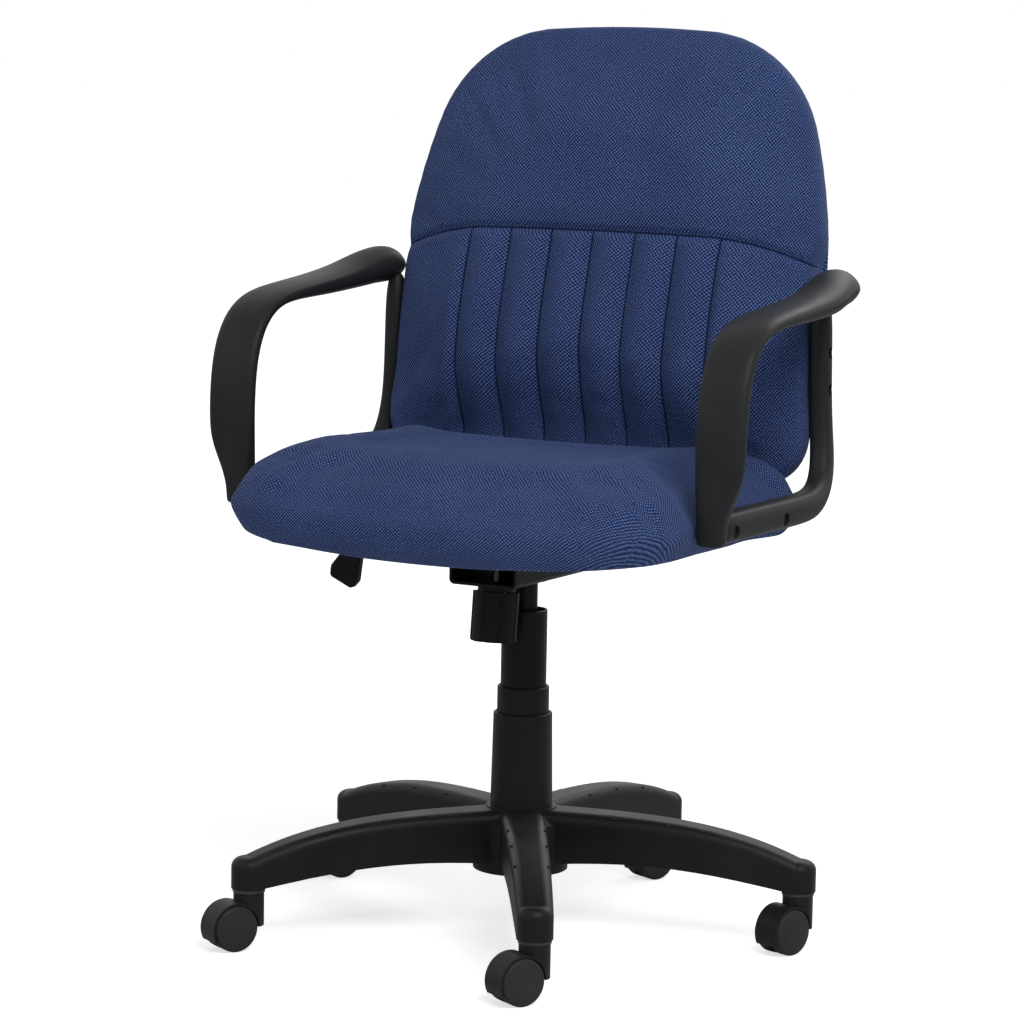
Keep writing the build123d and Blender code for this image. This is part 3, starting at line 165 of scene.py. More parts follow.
# %% Floor
floor_half_size = 14.0
floor_grey = 0.86
glow_near, glow_far = 0.66, 1.0
near_radius, far_radius = 0.45, 1.5
floor_mesh = bpy.data.meshes.new("floor")
sheet_mesh = bmesh.new()
bmesh.ops.create_grid(sheet_mesh, x_segments=1, y_segments=1, size=floor_half_size)
sheet_mesh.to_mesh(floor_mesh)
sheet_mesh.free()
floor = bpy.data.objects.new("floor", floor_mesh)
scene.collection.objects.link(floor)

floor_paint = bpy.data.materials.new("white_floor")
floor_paint.use_nodes = True
tree = floor_paint.node_tree
tree.nodes.clear()
matt = tree.nodes.new("ShaderNodeBsdfDiffuse")
matt.inputs["Color"].default_value = (floor_grey, floor_grey, floor_grey, 1.0)
glow = tree.nodes.new("ShaderNodeEmission")
seen = tree.nodes.new("ShaderNodeLightPath")
strength = tree.nodes.new("ShaderNodeMath")
strength.operation = "MULTIPLY"
ground = tree.nodes.new("ShaderNodeTexCoord")
distance = tree.nodes.new("ShaderNodeVectorMath")
distance.operation = "LENGTH"
whitening = tree.nodes.new("ShaderNodeMapRange")
whitening.interpolation_type = "SMOOTHSTEP"
glow_range = {"From Min": near_radius, "From Max": far_radius, "To Min": glow_near, "To Max": glow_far}
for socket, value in glow_range.items():
    whitening.inputs[socket].default_value = value
link(tree, ground.outputs["Object"], distance.inputs[0])
link(tree, distance.outputs["Value"], whitening.inputs["Value"])
link(tree, whitening.outputs["Result"], strength.inputs[1])
both = tree.nodes.new("ShaderNodeAddShader")
surface = tree.nodes.new("ShaderNodeOutputMaterial")
link(tree, seen.outputs["Is Camera Ray"], strength.inputs[0])
link(tree, strength.outputs[0], glow.inputs["Strength"])
link(tree, matt.outputs[0], both.inputs[0])
link(tree, glow.outputs[0], both.inputs[1])
link(tree, both.outputs[0], surface.inputs["Surface"])
floor_mesh.materials.append(floor_paint)
print("floor glow", glow_near, "to", glow_far)

# %% [markdown]
# ## Shared effects
# Three effects are node groups, so that the finishes can share them. A few helpers make their nodes.

# %% Node helpers


def new_group(name, inputs, outputs):
    group = bpy.data.node_groups.new(name, "ShaderNodeTree")
    for label, kind, value in inputs:
        socket = group.interface.new_socket(label, in_out="INPUT", socket_type=kind)
        if value is not None:
            socket.default_value = value
    for label, kind in outputs:
        group.interface.new_socket(label, in_out="OUTPUT", socket_type=kind)
    return group, group.nodes.new("NodeGroupInput"), group.nodes.new("NodeGroupOutput")


def math_node(tree, operation, first, second=None):
    node = tree.nodes.new("ShaderNodeMath")
    node.operation = operation
    for socket, value in zip(node.inputs, (first, second)):
        if value is None:
            continue
        if isinstance(value, (int, float)):
            socket.default_value = value
        else:
            link(tree, value, socket)
    return node.outputs[0]


def noise_node(tree, vector, scale, detail=2.0, roughness=0.5):
    node = tree.nodes.new("ShaderNodeTexNoise")
    node.inputs["Detail"].default_value = detail
    node.inputs["Roughness"].default_value = roughness
    link(tree, vector, node.inputs["Vector"])
    if isinstance(scale, (int, float)):
        node.inputs["Scale"].default_value = scale
    else:
        link(tree, scale, node.inputs["Scale"])
    return node.outputs[0]


# %% [markdown]
# *Moulded grain* is the fine spark-eroded texture of plastic with broad uneven patches.

# %% Moulded grain
grain_group, grain_in, grain_out = new_group(
    "moulded_grain",
    [("Vector", "NodeSocketVector", None), ("Grain Scale", "NodeSocketFloat", 900.0)],
    [("Grain", "NodeSocketFloat"), ("Patches", "NodeSocketFloat")],
)
fine = noise_node(grain_group, grain_in.outputs["Vector"], grain_in.outputs["Grain Scale"], 3.0, 0.6)
broad = noise_node(grain_group, grain_in.outputs["Vector"], 14.0, 4.0, 0.55)
link(grain_group, fine, grain_out.inputs["Grain"])
link(grain_group, broad, grain_out.inputs["Patches"])
print(grain_group.name, "nodes", len(grain_group.nodes))

# %% [markdown]
# *Plain weave* is a lattice of thread crowns: the cloth is high where the sine waves of both
# directions agree, which gives the staggered dots of a basket weave. A slow noise sways the threads.

# %% Plain weave
threads_per_metre = 240.0
thread_sway = 0.0042
weave_group, weave_in, weave_out = new_group(
    "plain_weave",
    [("Vector", "NodeSocketVector", None), ("Threads", "NodeSocketFloat", threads_per_metre)],
    [("Crown", "NodeSocketFloat"), ("Fleck", "NodeSocketFloat"), ("Patches", "NodeSocketFloat")],
)
wobble = weave_group.nodes.new("ShaderNodeTexNoise")
wobble.inputs["Scale"].default_value = 48.0
wobble.inputs["Detail"].default_value = 2.0
link(weave_group, weave_in.outputs["Vector"], wobble.inputs["Vector"])
sway = weave_group.nodes.new("ShaderNodeVectorMath")
sway.operation = "MULTIPLY_ADD"
sway.inputs[1].default_value = (thread_sway, thread_sway, 0.0)
link(weave_group, wobble.outputs["Color"], sway.inputs[0])
link(weave_group, weave_in.outputs["Vector"], sway.inputs[2])
parts = weave_group.nodes.new("ShaderNodeSeparateXYZ")
link(weave_group, sway.outputs[0], parts.inputs[0])
turns = math_node(weave_group, "MULTIPLY", weave_in.outputs["Threads"], math.tau)
warp = math_node(weave_group, "SINE", math_node(weave_group, "MULTIPLY", parts.outputs[0], turns))
weft = math_node(weave_group, "SINE", math_node(weave_group, "MULTIPLY", parts.outputs[1], turns))
agree = math_node(weave_group, "MULTIPLY", warp, weft)
crown = math_node(weave_group, "MULTIPLY_ADD", agree, 0.5)
weave_group.nodes[-1].inputs[2].default_value = 0.5
link(weave_group, crown, weave_out.inputs["Crown"])
fleck = noise_node(weave_group, weave_in.outputs["Vector"], 520.0, 1.0)
link(weave_group, fleck, weave_out.inputs["Fleck"])
patches = noise_node(weave_group, weave_in.outputs["Vector"], 9.0, 3.0)
link(weave_group, patches, weave_out.inputs["Patches"])
print(weave_group.name, "nodes", len(weave_group.nodes))

# %% [markdown]
# *Sewn lines* marks the seams of the back: one between its panels, and below it a line between
# neighbouring channels. Its vector holds the way across and the way below the panel seam.

# %% Sewn lines
channel_pitch = 0.052
seam_group, seam_in, seam_out = new_group(
    "sewn_lines",
    [
        ("Vector", "NodeSocketVector", None), ("Pitch", "NodeSocketFloat", channel_pitch),
        ("Field", "NodeSocketFloat", 0.18), ("Width", "NodeSocketFloat", 0.0011),
    ],
    [("Line", "NodeSocketFloat")],
)
across = seam_group.nodes.new("ShaderNodeSeparateXYZ")
link(seam_group, seam_in.outputs["Vector"], across.inputs[0])
side, below = across.outputs[0], across.outputs[1]
pitch, width = seam_in.outputs["Pitch"], seam_in.outputs["Width"]
nearest = math_node(seam_group, "ROUND", math_node(seam_group, "DIVIDE", side, pitch))
away = math_node(seam_group, "SUBTRACT", side, math_node(seam_group, "MULTIPLY", nearest, pitch))
channel = math_node(seam_group, "LESS_THAN", math_node(seam_group, "ABSOLUTE", away), width)
sideways = math_node(seam_group, "ABSOLUTE", side)
inside = math_node(seam_group, "LESS_THAN", sideways, seam_in.outputs["Field"])
lower = math_node(seam_group, "GREATER_THAN", below, 0.0)
channel = math_node(seam_group, "MULTIPLY", channel, math_node(seam_group, "MULTIPLY", inside, lower))
panel = math_node(seam_group, "LESS_THAN", math_node(seam_group, "ABSOLUTE", below), width)
link(seam_group, math_node(seam_group, "MAXIMUM", channel, panel), seam_out.inputs["Line"])
print("groups", [g.name for g in bpy.data.node_groups])

# %% [markdown]
# ## Plastic and metal finishes
# The arms are charcoal polymer, the base and covers black nylon, the caster discs a slightly
# blue-grey plastic. They differ in colour, roughness and grain, so one function builds them all:
# patches vary the colour and the gloss a little, and the grain feeds a bump.

# %% Rigid materials


def place_group(tree, group, **values):
    node = tree.nodes.new("ShaderNodeGroup")
    node.node_tree = group
    for label, value in values.items():
        node.inputs[label.replace("_", " ")].default_value = value
    return node


def ramp(tree, factor, low, high, low_at=0.3, high_at=0.7):
    node = tree.nodes.new("ShaderNodeValToRGB")
    node.color_ramp.elements[0].position = low_at
    node.color_ramp.elements[0].color = (*low, 1.0)
    node.color_ramp.elements[1].position = high_at
    node.color_ramp.elements[1].color = (*high, 1.0)
    link(tree, factor, node.inputs["Fac"])
    return node.outputs["Color"]


def grey_range(tree, factor, low, high):
    node = tree.nodes.new("ShaderNodeMapRange")
    node.inputs["From Min"].default_value = 0.3
    node.inputs["From Max"].default_value = 0.7
    node.inputs["To Min"].default_value = low
    node.inputs["To Max"].default_value = high
    link(tree, factor, node.inputs["Value"])
    return node.outputs["Result"]


def new_material(name):
    material = bpy.data.materials.new(name)
    material.use_nodes = True
    return material, material.node_tree, material.node_tree.nodes["Principled BSDF"]


def bump(tree, shader, height, strength, distance):
    node = tree.nodes.new("ShaderNodeBump")
    node.inputs["Strength"].default_value = strength
    node.inputs["Distance"].default_value = distance
    link(tree, height, node.inputs["Height"])
    link(tree, node.outputs["Normal"], shader.inputs["Normal"])


def moulded(
    name, colour, roughness, grain_scale, grain_depth, metallic=0.0, contrast=0.22, specular=0.12,
):
    material, tree, shader = new_material(name)
    coordinates = tree.nodes.new("ShaderNodeTexCoord")
    grain = place_group(tree, grain_group, Grain_Scale=grain_scale)
    link(tree, coordinates.outputs["Object"], grain.inputs["Vector"])
    low = [channel * (1.0 - contrast) for channel in colour]
    high = [channel * (1.0 + contrast) for channel in colour]
    link(tree, ramp(tree, grain.outputs["Patches"], low, high), shader.inputs["Base Color"])
    gloss = grey_range(tree, grain.outputs["Patches"], roughness - 0.05, roughness + 0.05)
    link(tree, gloss, shader.inputs["Roughness"])
    shader.inputs["Metallic"].default_value = metallic
    shader.inputs["Specular IOR Level"].default_value = specular
    bump(tree, shader, grain.outputs["Grain"], 0.35, grain_depth)
    return material


finishes = {
    "base_nylon": moulded("base_nylon", (0.0115, 0.0117, 0.0126), 0.42, 1300.0, 0.00012),
    "caster_hood_plastic": moulded("caster_hood_plastic", (0.016, 0.0162, 0.0172), 0.40, 1500.0, 0.0001),
    "caster_wheel_plastic": moulded("caster_wheel_plastic", (0.030, 0.0325, 0.034), 0.48, 1500.0, 0.0001),
    "arm_plastic": moulded("arm_plastic", (0.019, 0.0193, 0.0204), 0.46, 1100.0, 0.00014),
    "control_plastic": moulded("control_plastic", (0.005, 0.005, 0.0053), 0.45, 1500.0, 0.0001),
    "guide_plastic": moulded("guide_plastic", (0.02, 0.02, 0.021), 0.4, 1500.0, 0.0001),
    "stop_rubber": moulded("stop_rubber", (0.012, 0.012, 0.012), 0.75, 900.0, 0.0002),
    "black_steel": moulded("black_steel", (0.0065, 0.0066, 0.007), 0.38, 700.0, 0.00008),
    "lever_steel": moulded("lever_steel", (0.007, 0.0071, 0.0076), 0.36, 700.0, 0.00006),
    "zinc_steel": moulded(
        "zinc_steel", (0.06, 0.06, 0.062), 0.38, 900.0, 0.00005, metallic=0.9, specular=0.5,
    ),
    "bright_steel": moulded(
        "bright_steel", (0.58, 0.58, 0.6), 0.24, 900.0, 0.00003, metallic=1.0, specular=0.5,
    ),
}
print("rigid finishes", sorted(finishes))

# %% [markdown]
# Plywood shows only at the hidden boards. A wave pattern along the grain with stretched noise is
# enough for the veneer. The dust cloth under the seat is a black felt without a weave.

# %% Plywood and dust cloth
material, tree, shader = new_material("plywood")
coordinates = tree.nodes.new("ShaderNodeTexCoord")
stretch = tree.nodes.new("ShaderNodeMapping")
stretch.inputs["Scale"].default_value = (60.0, 4.0, 60.0)
link(tree, coordinates.outputs["Object"], stretch.inputs["Vector"])
veneer = noise_node(tree, stretch.outputs["Vector"], 1.0, 5.0, 0.6)
link(tree, ramp(tree, veneer, (0.36, 0.23, 0.12), (0.60, 0.43, 0.25)), shader.inputs["Base Color"])
shader.inputs["Roughness"].default_value = 0.7
bump(tree, shader, veneer, 0.2, 0.0004)
finishes["plywood"] = material

material, tree, shader = new_material("dust_cloth")
coordinates = tree.nodes.new("ShaderNodeTexCoord")
felt = noise_node(tree, coordinates.outputs["Object"], 700.0, 4.0, 0.7)
link(tree, ramp(tree, felt, (0.008, 0.008, 0.009), (0.022, 0.022, 0.024)), shader.inputs["Base Color"])
shader.inputs["Roughness"].default_value = 0.95
shader.inputs["Sheen Weight"].default_value = 0.2
bump(tree, shader, felt, 0.5, 0.0006)
finishes["dust_cloth"] = material

# %% [markdown]
# ## The blue cloth
# The upholstery is a coarse blue weave, about three millimetres in pitch, and the dye is slightly uneven.
# Its colour follows the height of the weave: the low gaps between threads and the sewn seams get a
# painted shade, the high thread crowns a painted highlight, and the yarn's own navy lies between. The
# pattern reads each piece's own UV map in metres, so the threads run with the cloth over rolls and
# edges. A little sheen gives the pale bloom that fabric shows at grazing angles.

# %% Blue fabric
material, tree, shader = new_material("blue_fabric")
layout = tree.nodes.new("ShaderNodeUVMap")
layout.uv_map = "cloth"
weave = place_group(tree, weave_group, Threads=threads_per_metre)
link(tree, layout.outputs["UV"], weave.inputs["Vector"])
# The gap colour is painted shade in the weave's hollows, the crown colour a painted highlight on the
# thread tops, and the thread colour the yarn's own.
gap_shade_colour = (0.004, 0.009, 0.038)
thread_colour = (0.025, 0.050, 0.158)
crown_highlight_colour = (0.138, 0.205, 0.450)
fleck_share = 0.75
seam_drop_and_shade = 0.6
yarn_with_painted_light = tree.nodes.new("ShaderNodeValToRGB")
yarn_with_painted_light.color_ramp.elements[0].position = 0.12
yarn_with_painted_light.color_ramp.elements[0].color = (*gap_shade_colour, 1.0)
yarn_with_painted_light.color_ramp.elements[1].position = 0.95
yarn_with_painted_light.color_ramp.elements[1].color = (*crown_highlight_colour, 1.0)
middle = yarn_with_painted_light.color_ramp.elements.new(0.52)
middle.color = (*thread_colour, 1.0)
uneven = math_node(tree, "SUBTRACT", weave.outputs["Fleck"], 0.5)
uneven = math_node(tree, "MULTIPLY", uneven, fleck_share)
height = math_node(tree, "ADD", weave.outputs["Crown"], uneven)
sewing = tree.nodes.new("ShaderNodeUVMap")
sewing.uv_map = "seams"
sewn = place_group(tree, seam_group)
link(tree, sewing.outputs["UV"], sewn.inputs["Vector"])
# The seam lines lower the height, which deepens the bump and also gives the seams the painted shade of
# the gap colour.
sunk_and_shaded = math_node(tree, "MULTIPLY", sewn.outputs["Line"], seam_drop_and_shade)
height = math_node(tree, "SUBTRACT", height, sunk_and_shaded)
link(tree, height, yarn_with_painted_light.inputs["Fac"])
dye = tree.nodes.new("ShaderNodeMix")
dye.data_type = "RGBA"
dye.blend_type = "MULTIPLY"
dye.inputs["Factor"].default_value = 1.0
link(tree, yarn_with_painted_light.outputs["Color"], dye.inputs["A"])
tone = ramp(tree, weave.outputs["Patches"], (0.88, 0.88, 0.90), (1.08, 1.08, 1.06))
link(tree, tone, dye.inputs["B"])
link(tree, dye.outputs["Result"], shader.inputs["Base Color"])
shader.inputs["Roughness"].default_value = 0.85
shader.inputs["Specular IOR Level"].default_value = 0.12
shader.inputs["Sheen Weight"].default_value = 0.10
shader.inputs["Sheen Roughness"].default_value = 0.5
shader.inputs["Sheen Tint"].default_value = (0.55, 0.65, 0.95, 1.0)
bump(tree, shader, height, 0.8, 0.0007)
finishes["blue_fabric"] = material
print("finishes", len(finishes))

# %% [markdown]
# The finishes go onto the CAD nodes by the slot that the record gives each node.

# %% Dress the CAD nodes
for name, node in nodes.items():
    node.data.materials.clear()
    node.data.materials.append(finishes[slot_of_node[name]])
print("dressed", len(nodes), "nodes")

# %% [markdown]
# ## Making a cushion
# A foam cushion in a sewn cover is a crowned, closed form. Each one starts as a copy of its CAD
# solid, so it has the right outline and leaves room for the boards inside. The copy is merged and
# remeshed into even cloth, and a short cloth simulation with air pressure inside swells the side that
# people touch, while the rim and the side on the board are pinned. The swelling is capped, so that
# the pad keeps to the size of its solid.

# %% Cushion helpers
cloth_frames = 20
voxel_size = 0.006


def apply_modifiers(piece):
    result = piece.evaluated_get(bpy.context.evaluated_depsgraph_get())
    shaped = bpy.data.meshes.new_from_object(result)
    piece.modifiers.clear()
    old = piece.data
    piece.data = shaped
    bpy.data.meshes.remove(old)


def reshape(piece, work):
    """Run one bmesh job on a piece's mesh."""
    mesh = bmesh.new()
    mesh.from_mesh(piece.data)
    work(mesh)
    mesh.to_mesh(piece.data)
    mesh.free()


def even_copy(node_name, name, plane=None, voxel=voxel_size):
    """A merged, voxel-remeshed copy of a soft CAD solid, laid into plane's own coordinates."""
    piece = bpy.data.objects.new(name, nodes[node_name].data.copy())
    scene.collection.objects.link(piece)
    piece.data.materials.clear()
    if plane:
        piece.data.transform(plane.inverted())
    reshape(piece, lambda mesh: bmesh.ops.remove_doubles(mesh, verts=mesh.verts, dist=1e-5))
    voxels = piece.modifiers.new("even_cloth", "REMESH")
    voxels.mode = "VOXEL"
    voxels.voxel_size = voxel
    apply_modifiers(piece)
    return piece


def relax(piece, factors, chosen=None, axes=(True, True, True)):
    """Smooth once for each factor. A negative factor pushes back what the pass before drew in."""
    def smooth(mesh):
        verts = [v for v in mesh.verts if chosen is None or chosen(v.co)]
        for factor in factors:
            bmesh.ops.smooth_vert(
                mesh, verts=verts, factor=factor,
                use_axis_x=axes[0], use_axis_y=axes[1], use_axis_z=axes[2],
            )
    reshape(piece, smooth)


def settle(piece, rounds):
    """Even out the steps of the voxels and keep the volume."""
    relax(piece, (0.5, -0.53) * rounds)


def swell(piece, pinned, cap, pressure=4.0):
    """Inflate the pad as cloth. pinned says which points stay, and no point moves by more than cap."""
    before = [v.co.copy() for v in piece.data.vertices]
    held = piece.vertex_groups.new(name="held")
    held.add([v.index for v in piece.data.vertices if pinned(v.co)], 1.0, "REPLACE")
    cloth = piece.modifiers.new("swell", "CLOTH")
    cloth.settings.effector_weights.gravity = 0.0
    cloth.settings.use_pressure = True
    cloth.settings.uniform_pressure_force = pressure
    cloth.settings.vertex_group_mass = "held"
    cloth.settings.quality = 4
    cloth.collision_settings.use_collision = False
    cloth.point_cache.frame_start = 1
    cloth.point_cache.frame_end = cloth_frames
    for step in range(1, cloth_frames + 1):
        scene.frame_set(step)
    apply_modifiers(piece)
    scene.frame_set(1)
    for vertex, start in zip(piece.data.vertices, before):
        move = vertex.co - start
        if move.length > cap:
            vertex.co = start + move * (cap / move.length)
    piece.vertex_groups.clear()


def refine(piece):
    finer = piece.modifiers.new("finer", "SUBSURF")
    finer.levels = finer.render_levels = 1
    apply_modifiers(piece)


def ease(value, low, high):
    """0 below low, 1 above high and a smooth step between them."""
    share = min(1.0, max(0.0, (value - low) / (high - low)))
    return share * share * (3.0 - 2.0 * share)


def fill_corner(across, along, start_across, start_along, power):
    """Push a point in a rounded corner out towards a squarer one; elsewhere it stays."""
    a, b = abs(across) - start_across, along - start_along
    if a <= 0.0 or b <= 0.0:
        return across, along
    reach = math.hypot(a, b)
    fuller = ((a / reach) ** power + (b / reach) ** power) ** (-1.0 / power)
    return math.copysign(start_across + a * fuller, across), start_along + b * fuller


def no_seam(point):
    return (1.0, -1.0)


def lay_cloth(piece, crown, roll, widest, facing=1.0, sewing=no_seam):
    """Give the cover UVs in metres: flat over the crown, and led down over the rim.

    A point that has dropped below the crown lies further out on the flat cloth, by the arc of a rim
    of radius roll less the ground that the arc covers, and beyond the rim by the plain drop.
    Below the widest line the cloth turns in again, so the ground that it gives back is added. The
    four sides are cut apart at the corners, as a cover is.
    """
    extra = []
    for vertex in piece.data.vertices:
        drop = max(0.0, facing * (crown - vertex.co.z))
        if drop < roll:
            turn = math.acos(1.0 - drop / roll)
            extra.append(roll * (turn - math.sin(turn)))
        else:
            extra.append(roll * (math.pi / 2 - 1.0) + drop - roll)
        under = max(0.0, facing * (widest - vertex.co.z))
        turned = math.asin(min(1.0, under / roll))
        extra[-1] += roll * (1.0 - math.cos(turned)) + roll * turned - min(under, roll)
    cloth = piece.data.uv_layers.new(name="cloth").data
    sewn = piece.data.uv_layers.new(name="seams").data
    for face in piece.data.polygons:
        if abs(face.normal.x) > abs(face.normal.y):
            outward = Vector((math.copysign(1.0, face.normal.x), 0.0))
        else:
            outward = Vector((0.0, math.copysign(1.0, face.normal.y)))
        for corner in face.loop_indices:
            index = piece.data.loops[corner].vertex_index
            point = piece.data.vertices[index].co
            cloth[corner].uv = point.xy + outward * extra[index]
            sewn[corner].uv = sewing(point)


def dress(piece, body, replaced):
    piece.data.materials.clear()
    piece.data.materials.append(finishes["blue_fabric"])
    for face in piece.data.polygons:
        face.use_smooth = True
    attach(piece, body)
    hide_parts(*replaced)
    print(piece.name, "faces", len(piece.data.polygons))


# %% [markdown]
# ## The seat
# The seat is a deep pad with a rolled front, widest half way up, whose cover turns in under the
# board. People sit in its middle, so the last moves dish it a little there, lift the sides and
# fill the rear corners.

# %% Seat cushion
seat_crown = 0.526
seat_widest = 0.476
seat_roll = 0.05
seat_swell = 0.010
seat_dish = 0.006
seat_girth = 0.012
seat_rim_lift = 0.012
seat_cushion = even_copy("seat_cushion", "seat_cushion_cloth")
settle(seat_cushion, 4)
swell(seat_cushion, lambda p: p.z < seat_widest, seat_swell)
settle(seat_cushion, 4)
refine(seat_cushion)
for vertex in seat_cushion.data.vertices:
    p = vertex.co
    hollow = math.exp(-((p.x / 0.17) ** 2) - ((p.y + 0.03) / 0.13) ** 2)
    p.z -= seat_dish * hollow * ease(p.z, seat_widest, seat_crown - 0.01)
    girth = math.exp(-(((p.z - seat_widest - 0.004) / 0.026) ** 2))
    p.x += math.copysign(seat_girth * girth * ease(abs(p.x), 0.17, 0.25), p.x)
    rim = ease(abs(p.x), 0.13, 0.225) * (1.0 - ease(abs(p.x), 0.240, 0.272))
    p.z += seat_rim_lift * rim * ease(p.z, seat_widest - 0.004, seat_widest + 0.024)
    p.x, p.y = fill_corner(p.x, p.y, 0.150, 0.040, 3.5)
lay_cloth(seat_cushion, seat_crown, seat_roll, seat_widest)
dress(seat_cushion, "seat", ["seat_cushion"])

# %% [markdown]
# ## The backrest
# The back is shaped in its own plane, which leans back by ten degrees: x across, y up, z forward.
# It has a plain upper panel and a lower panel sewn into channels, which swell between their seams.

# %% Plane and seams of the back
back_lean = math.radians(10.15)
back_origin = Vector((0.0, 0.1434, 0.500))
back_plane = Matrix.Translation(back_origin) @ Matrix((
    (1.0, 0.0, 0.0),
    (0.0, math.sin(back_lean), -math.cos(back_lean)),
    (0.0, math.cos(back_lean), math.sin(back_lean)),
)).to_4x4()
back_crown = 0.045
back_roll = 0.035
channel_seams = [channel_pitch * k for k in range(-3, 4)]


def panel_seam(x):
    """Height of the seam between the panels: level in the middle, falling at both ends."""
    return 0.2555 - 0.003 * (x / 0.2) ** 2 - 0.024 * max(0.0, (abs(x) - 0.14) / 0.13) ** 2


def in_channels(p):
    return p.z > 0.012 and 0.02 < p.y < panel_seam(p.x) + 0.02 and abs(p.x) < 0.23


def seam_place(p):
    """Way across and way below the panel seam; the rear has no seam."""
    return (p.x, panel_seam(p.x) - p.y if p.z > 0.0 else -1.0)


print("channel seams", [round(v, 3) for v in channel_seams])

# %% [markdown]
# The solid's own channels are smoothed away first. The new ones are pressed in after the swelling,
# because a remesh would wipe seams narrower than its voxels.

# %% Back cushion
back_swell = 0.009
back_pinned_below = 0.016
pillow_height = 0.0105
lumbar_height = 0.008
foot_drop = 0.009
seam_depth = 0.0055
waist_depth = 0.0035
back_cushion = even_copy("back_cushion", "back_cushion_cloth", back_plane)
settle(back_cushion, 4)
relax(back_cushion, [0.5] * 24, in_channels, (False, False, True))
swell(back_cushion, lambda p: p.z < back_pinned_below, back_swell)
settle(back_cushion, 4)
refine(back_cushion)
for vertex in back_cushion.data.vertices:
    p = vertex.co
    front = ease(p.z, 0.012, 0.030)
    below = panel_seam(p.x) - p.y
    lower = ease(below, 0.0, 0.012)
    nearest = min(abs(p.x - seam) for seam in channel_seams)
    pillow = 1.0 - (1.0 - min(1.0, nearest / (channel_pitch / 2))) ** 2
    in_field = 1.0 - ease(abs(p.x), 0.156, 0.182)
    p.z += front * lower * in_field * pillow_height * (pillow - 0.4)
    lumbar = ease(p.y, 0.02, 0.14) * (1.0 - ease(p.y, 0.14, 0.27))
    lumbar = lumbar * (1.0 - ease(abs(p.x), 0.16, 0.25))
    foot = 1.0 - ease(p.y, 0.01, 0.09)
    p.z += front * (lumbar_height * lumbar - foot_drop * foot)
    fold = math.exp(-((below / 0.0045) ** 2))
    p.z -= front * fold * seam_depth
    waist = math.exp(-((below / 0.012) ** 2)) * (1.0 - front)
    p.x -= math.copysign(waist_depth * waist, p.x)
    p.x, height = fill_corner(p.x, -p.y, 0.144, -0.100, 3.0)
    p.y = -height
lay_cloth(back_cushion, back_crown, back_roll, 0.0, sewing=seam_place)
back_cushion.data.transform(back_plane)
dress(back_cushion, "seat", ["back_cushion"])

# %% [markdown]
# The rear of the backrest is a thinner upholstered shell, slightly domed, that meets the front
# cushion in a seam all round.

# %% Back shell
shell_rear = -0.036
shell_front = -0.022
shell_roll = 0.014
shell_voxel = 0.004
back_shell = even_copy("back_shell", "back_shell_cloth", back_plane, shell_voxel)
settle(back_shell, 6)
lay_cloth(back_shell, shell_rear, shell_roll, shell_front, facing=-1.0)
back_shell.data.transform(back_plane)
dress(back_shell, "seat", ["back_shell"])

# %% [markdown]
# ## The loop arms
# Each arm is one moulding: a broad ribbon climbs in front, bends into the rest and swells into a
# thick rounded end, and a slimmer bar and post close the loop. Both runs are built from a few
# sections bridged into a tube, and subdivision rounds them.

# %% Arm helpers


def section(mesh, x, y, z, slope, width, thickness, rounding):
    """Eight points of a rounded section across a run that climbs at slope towards the rear."""
    climb = math.radians(slope)
    up = Vector((0.0, -math.sin(climb), math.cos(climb)))
    half, thick = width / 2, thickness / 2
    around = (
        (half, rounding - thick), (half, thick - rounding),
        (half - rounding, thick), (rounding - half, thick),
        (-half, thick - rounding), (-half, rounding - thick),
        (rounding - half, -thick), (half - rounding, -thick),
    )
    points = [mesh.verts.new(Vector((x + a, y, z)) + up * b) for a, b in around]
    return [mesh.edges.new((points[i], points[(i + 1) % 8])) for i in range(8)]


def tube_through(name, sections):
    """Bridge sections into a closed tube and round it by subdivision."""
    mesh = bmesh.new()
    rings = [section(mesh, *values) for values in sections]
    for first, second in zip(rings, rings[1:]):
        bmesh.ops.bridge_loops(mesh, edges=first + second)
    for ring in (rings[0], rings[-1]):
        bmesh.ops.edgeloop_fill(mesh, edges=ring)
    bmesh.ops.recalc_face_normals(mesh, faces=mesh.faces[:])
    tube = bpy.data.objects.new(name, bpy.data.meshes.new(name))
    scene.collection.objects.link(tube)
    mesh.to_mesh(tube.data)
    mesh.free()
    smoother = tube.modifiers.new("smoother", "SUBSURF")
    smoother.levels = smoother.render_levels = 3
    apply_modifiers(tube)
    return tube


def combine(piece, other, operation):
    """Join a piece with another or cut the other out of it, and remove the other."""
    joint = piece.modifiers.new("joint", "BOOLEAN")
    joint.operation = operation
    joint.solver = "EXACT"
    joint.object = other
    apply_modifiers(piece)
    bpy.data.objects.remove(other)


# %% [markdown]
# The sections run in millimetres as x, y, z of the middle, slope in degrees, width, thickness and
# rounding. The ribbon starts at its foot on the bar. The bar runs back from the foot, and the post
# ends inside the thick end of the rest.

# %% Arm runs
ribbon_run = [
    (286, -127.5, 460, 90, 29, 24, 6), (286, -127.5, 466, 90, 31, 26, 6), (286, -128, 484, 90, 32, 26, 6),
    (290, -129, 506, 90, 41, 24, 6), (295, -130.5, 530, 90, 54, 21, 6), (296, -131, 556, 90, 56, 20, 6),
    (296, -130, 590, 87, 56, 20, 6), (296, -124, 628, 76, 56, 20, 6), (296, -106, 661, 56, 56, 19, 6),
    (296, -74, 681, 27, 56, 18, 6), (296, -28, 687, 8, 56, 19, 6), (296, 30, 690.5, 5, 56, 23, 7),
    (296, 84, 696, 6, 57, 28, 9), (293, 112, 701, 9, 58, 34, 11), (289, 136, 706.5, 10, 58, 40, 14),
    (286, 158, 709, 5, 58, 44, 16), (285, 174, 709, 0, 52, 40, 15), (285, 184, 708, 0, 36, 26, 10),
]
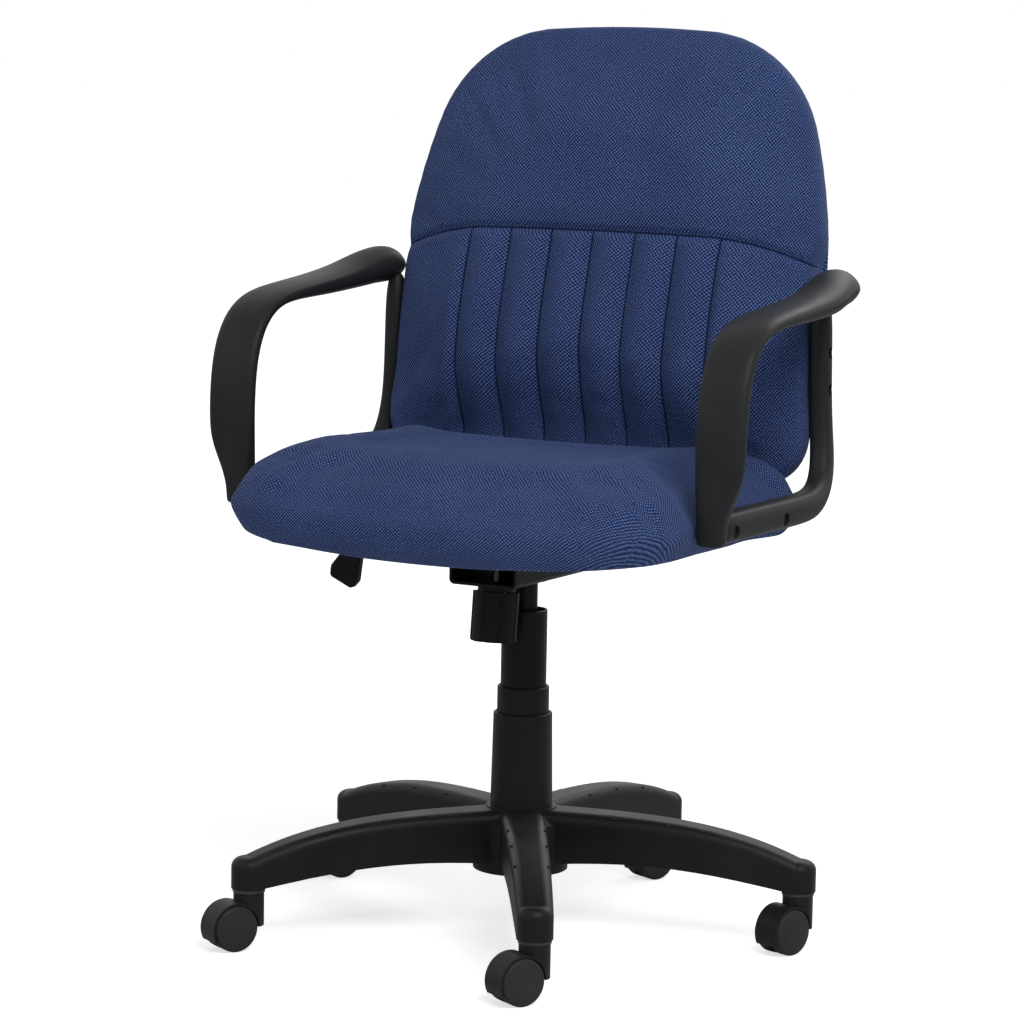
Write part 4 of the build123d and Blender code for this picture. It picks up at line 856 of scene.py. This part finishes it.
bar_run = [
    (286, -128, 478, 0, 29, 33, 6), (286, -90, 478, 0, 29, 33, 6), (286, -20, 478, 0, 29, 33, 6),
    (286, 30, 478, 0, 29, 33, 6), (285.5, 80, 478, 0, 29, 33, 6), (283.5, 118, 480, 8, 28, 33, 6),
    (280, 147, 494, 42, 27, 31, 7), (275.5, 163, 520, 76, 26, 27, 6), (271, 166.5, 556, 88, 24.5, 25, 6),
    (269, 166, 600, 90, 24, 25, 6), (268.5, 166, 650, 90, 24, 25, 6), (268, 166, 704, 90, 22, 22, 6),
]
millimetre = 0.001


def in_metres(run):
    scaled = []
    for x, y, z, slope, *sizes in run:
        place = [v * millimetre for v in (x, y, z)]
        scaled.append(place + [slope] + [v * millimetre for v in sizes])
    return scaled


arm = tube_through("arm_left_moulding", in_metres(ribbon_run))
combine(arm, tube_through("bar", in_metres(bar_run)), "UNION")
print("arm joined, faces", len(arm.data.polygons))

# %% [markdown]
# The bolt heads sit in recesses. Each place is the floor of a recess in the outer side of the arm.
# The other arm is the mirror image.

# %% Bolt recesses and the second arm
recess_radius = 0.0068
recess_depth = 0.02
sharp_edge = math.radians(40)
bolt_heads = [
    (0.293, -0.098, 0.474), (0.293, 0.022, 0.474),
    (0.272, 0.168, 0.598), (0.272, 0.168, 0.638),
]
cutter = bpy.data.objects.new("recesses", bpy.data.meshes.new("recesses"))
scene.collection.objects.link(cutter)


def drills(mesh):
    for x, y, z in bolt_heads:
        middle = Matrix.Translation((x + recess_depth / 2, y, z))
        bmesh.ops.create_cone(
            mesh, cap_ends=True, segments=32, radius1=recess_radius, radius2=recess_radius,
            depth=recess_depth, matrix=middle @ Matrix.Rotation(math.pi / 2, 4, "Y"),
        )


reshape(cutter, drills)
combine(arm, cutter, "DIFFERENCE")
other_arm = bpy.data.objects.new("arm_right_moulding", arm.data.copy())
scene.collection.objects.link(other_arm)
other_arm.data.transform(Matrix.Scale(-1.0, 4, (1.0, 0.0, 0.0)))
other_arm.data.flip_normals()
for piece, replaced in ((arm, "arm_left"), (other_arm, "arm_right")):
    piece.data.materials.clear()
    piece.data.materials.append(finishes["arm_plastic"])
    for face in piece.data.polygons:
        face.use_smooth = True
    piece.data.set_sharp_from_angle(angle=sharp_edge)
    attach(piece, "seat")
    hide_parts(replaced)
    print(piece.name, "faces", len(piece.data.polygons))

# %% [markdown]
# ## The dust cover
# A black cloth is stapled under the seat board around the mechanism. It is a thin flat sheet, so it
# is made from the lower face of its solid, cut by a grid into even cloth.

# %% Dust cover
cover = bpy.data.objects.new("dust_cover_cloth", nodes["dust_cover"].data.copy())
scene.collection.objects.link(cover)
grid_step = 0.0125
grid_offset = 0.003


def lower_face(mesh):
    bmesh.ops.remove_doubles(mesh, verts=mesh.verts, dist=1e-5)
    spare = [f for f in mesh.faces if f.normal.z > -0.9]
    bmesh.ops.delete(mesh, geom=spare, context="FACES")
    for axis in (Vector((1.0, 0.0, 0.0)), Vector((0.0, 1.0, 0.0))):
        for step in range(-20, 21):
            bmesh.ops.bisect_plane(
                mesh, geom=mesh.verts[:] + mesh.edges[:] + mesh.faces[:], dist=1e-6,
                plane_co=axis * (grid_step * step + grid_offset), plane_no=axis,
            )


reshape(cover, lower_face)
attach(cover, "seat")
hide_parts("dust_cover")
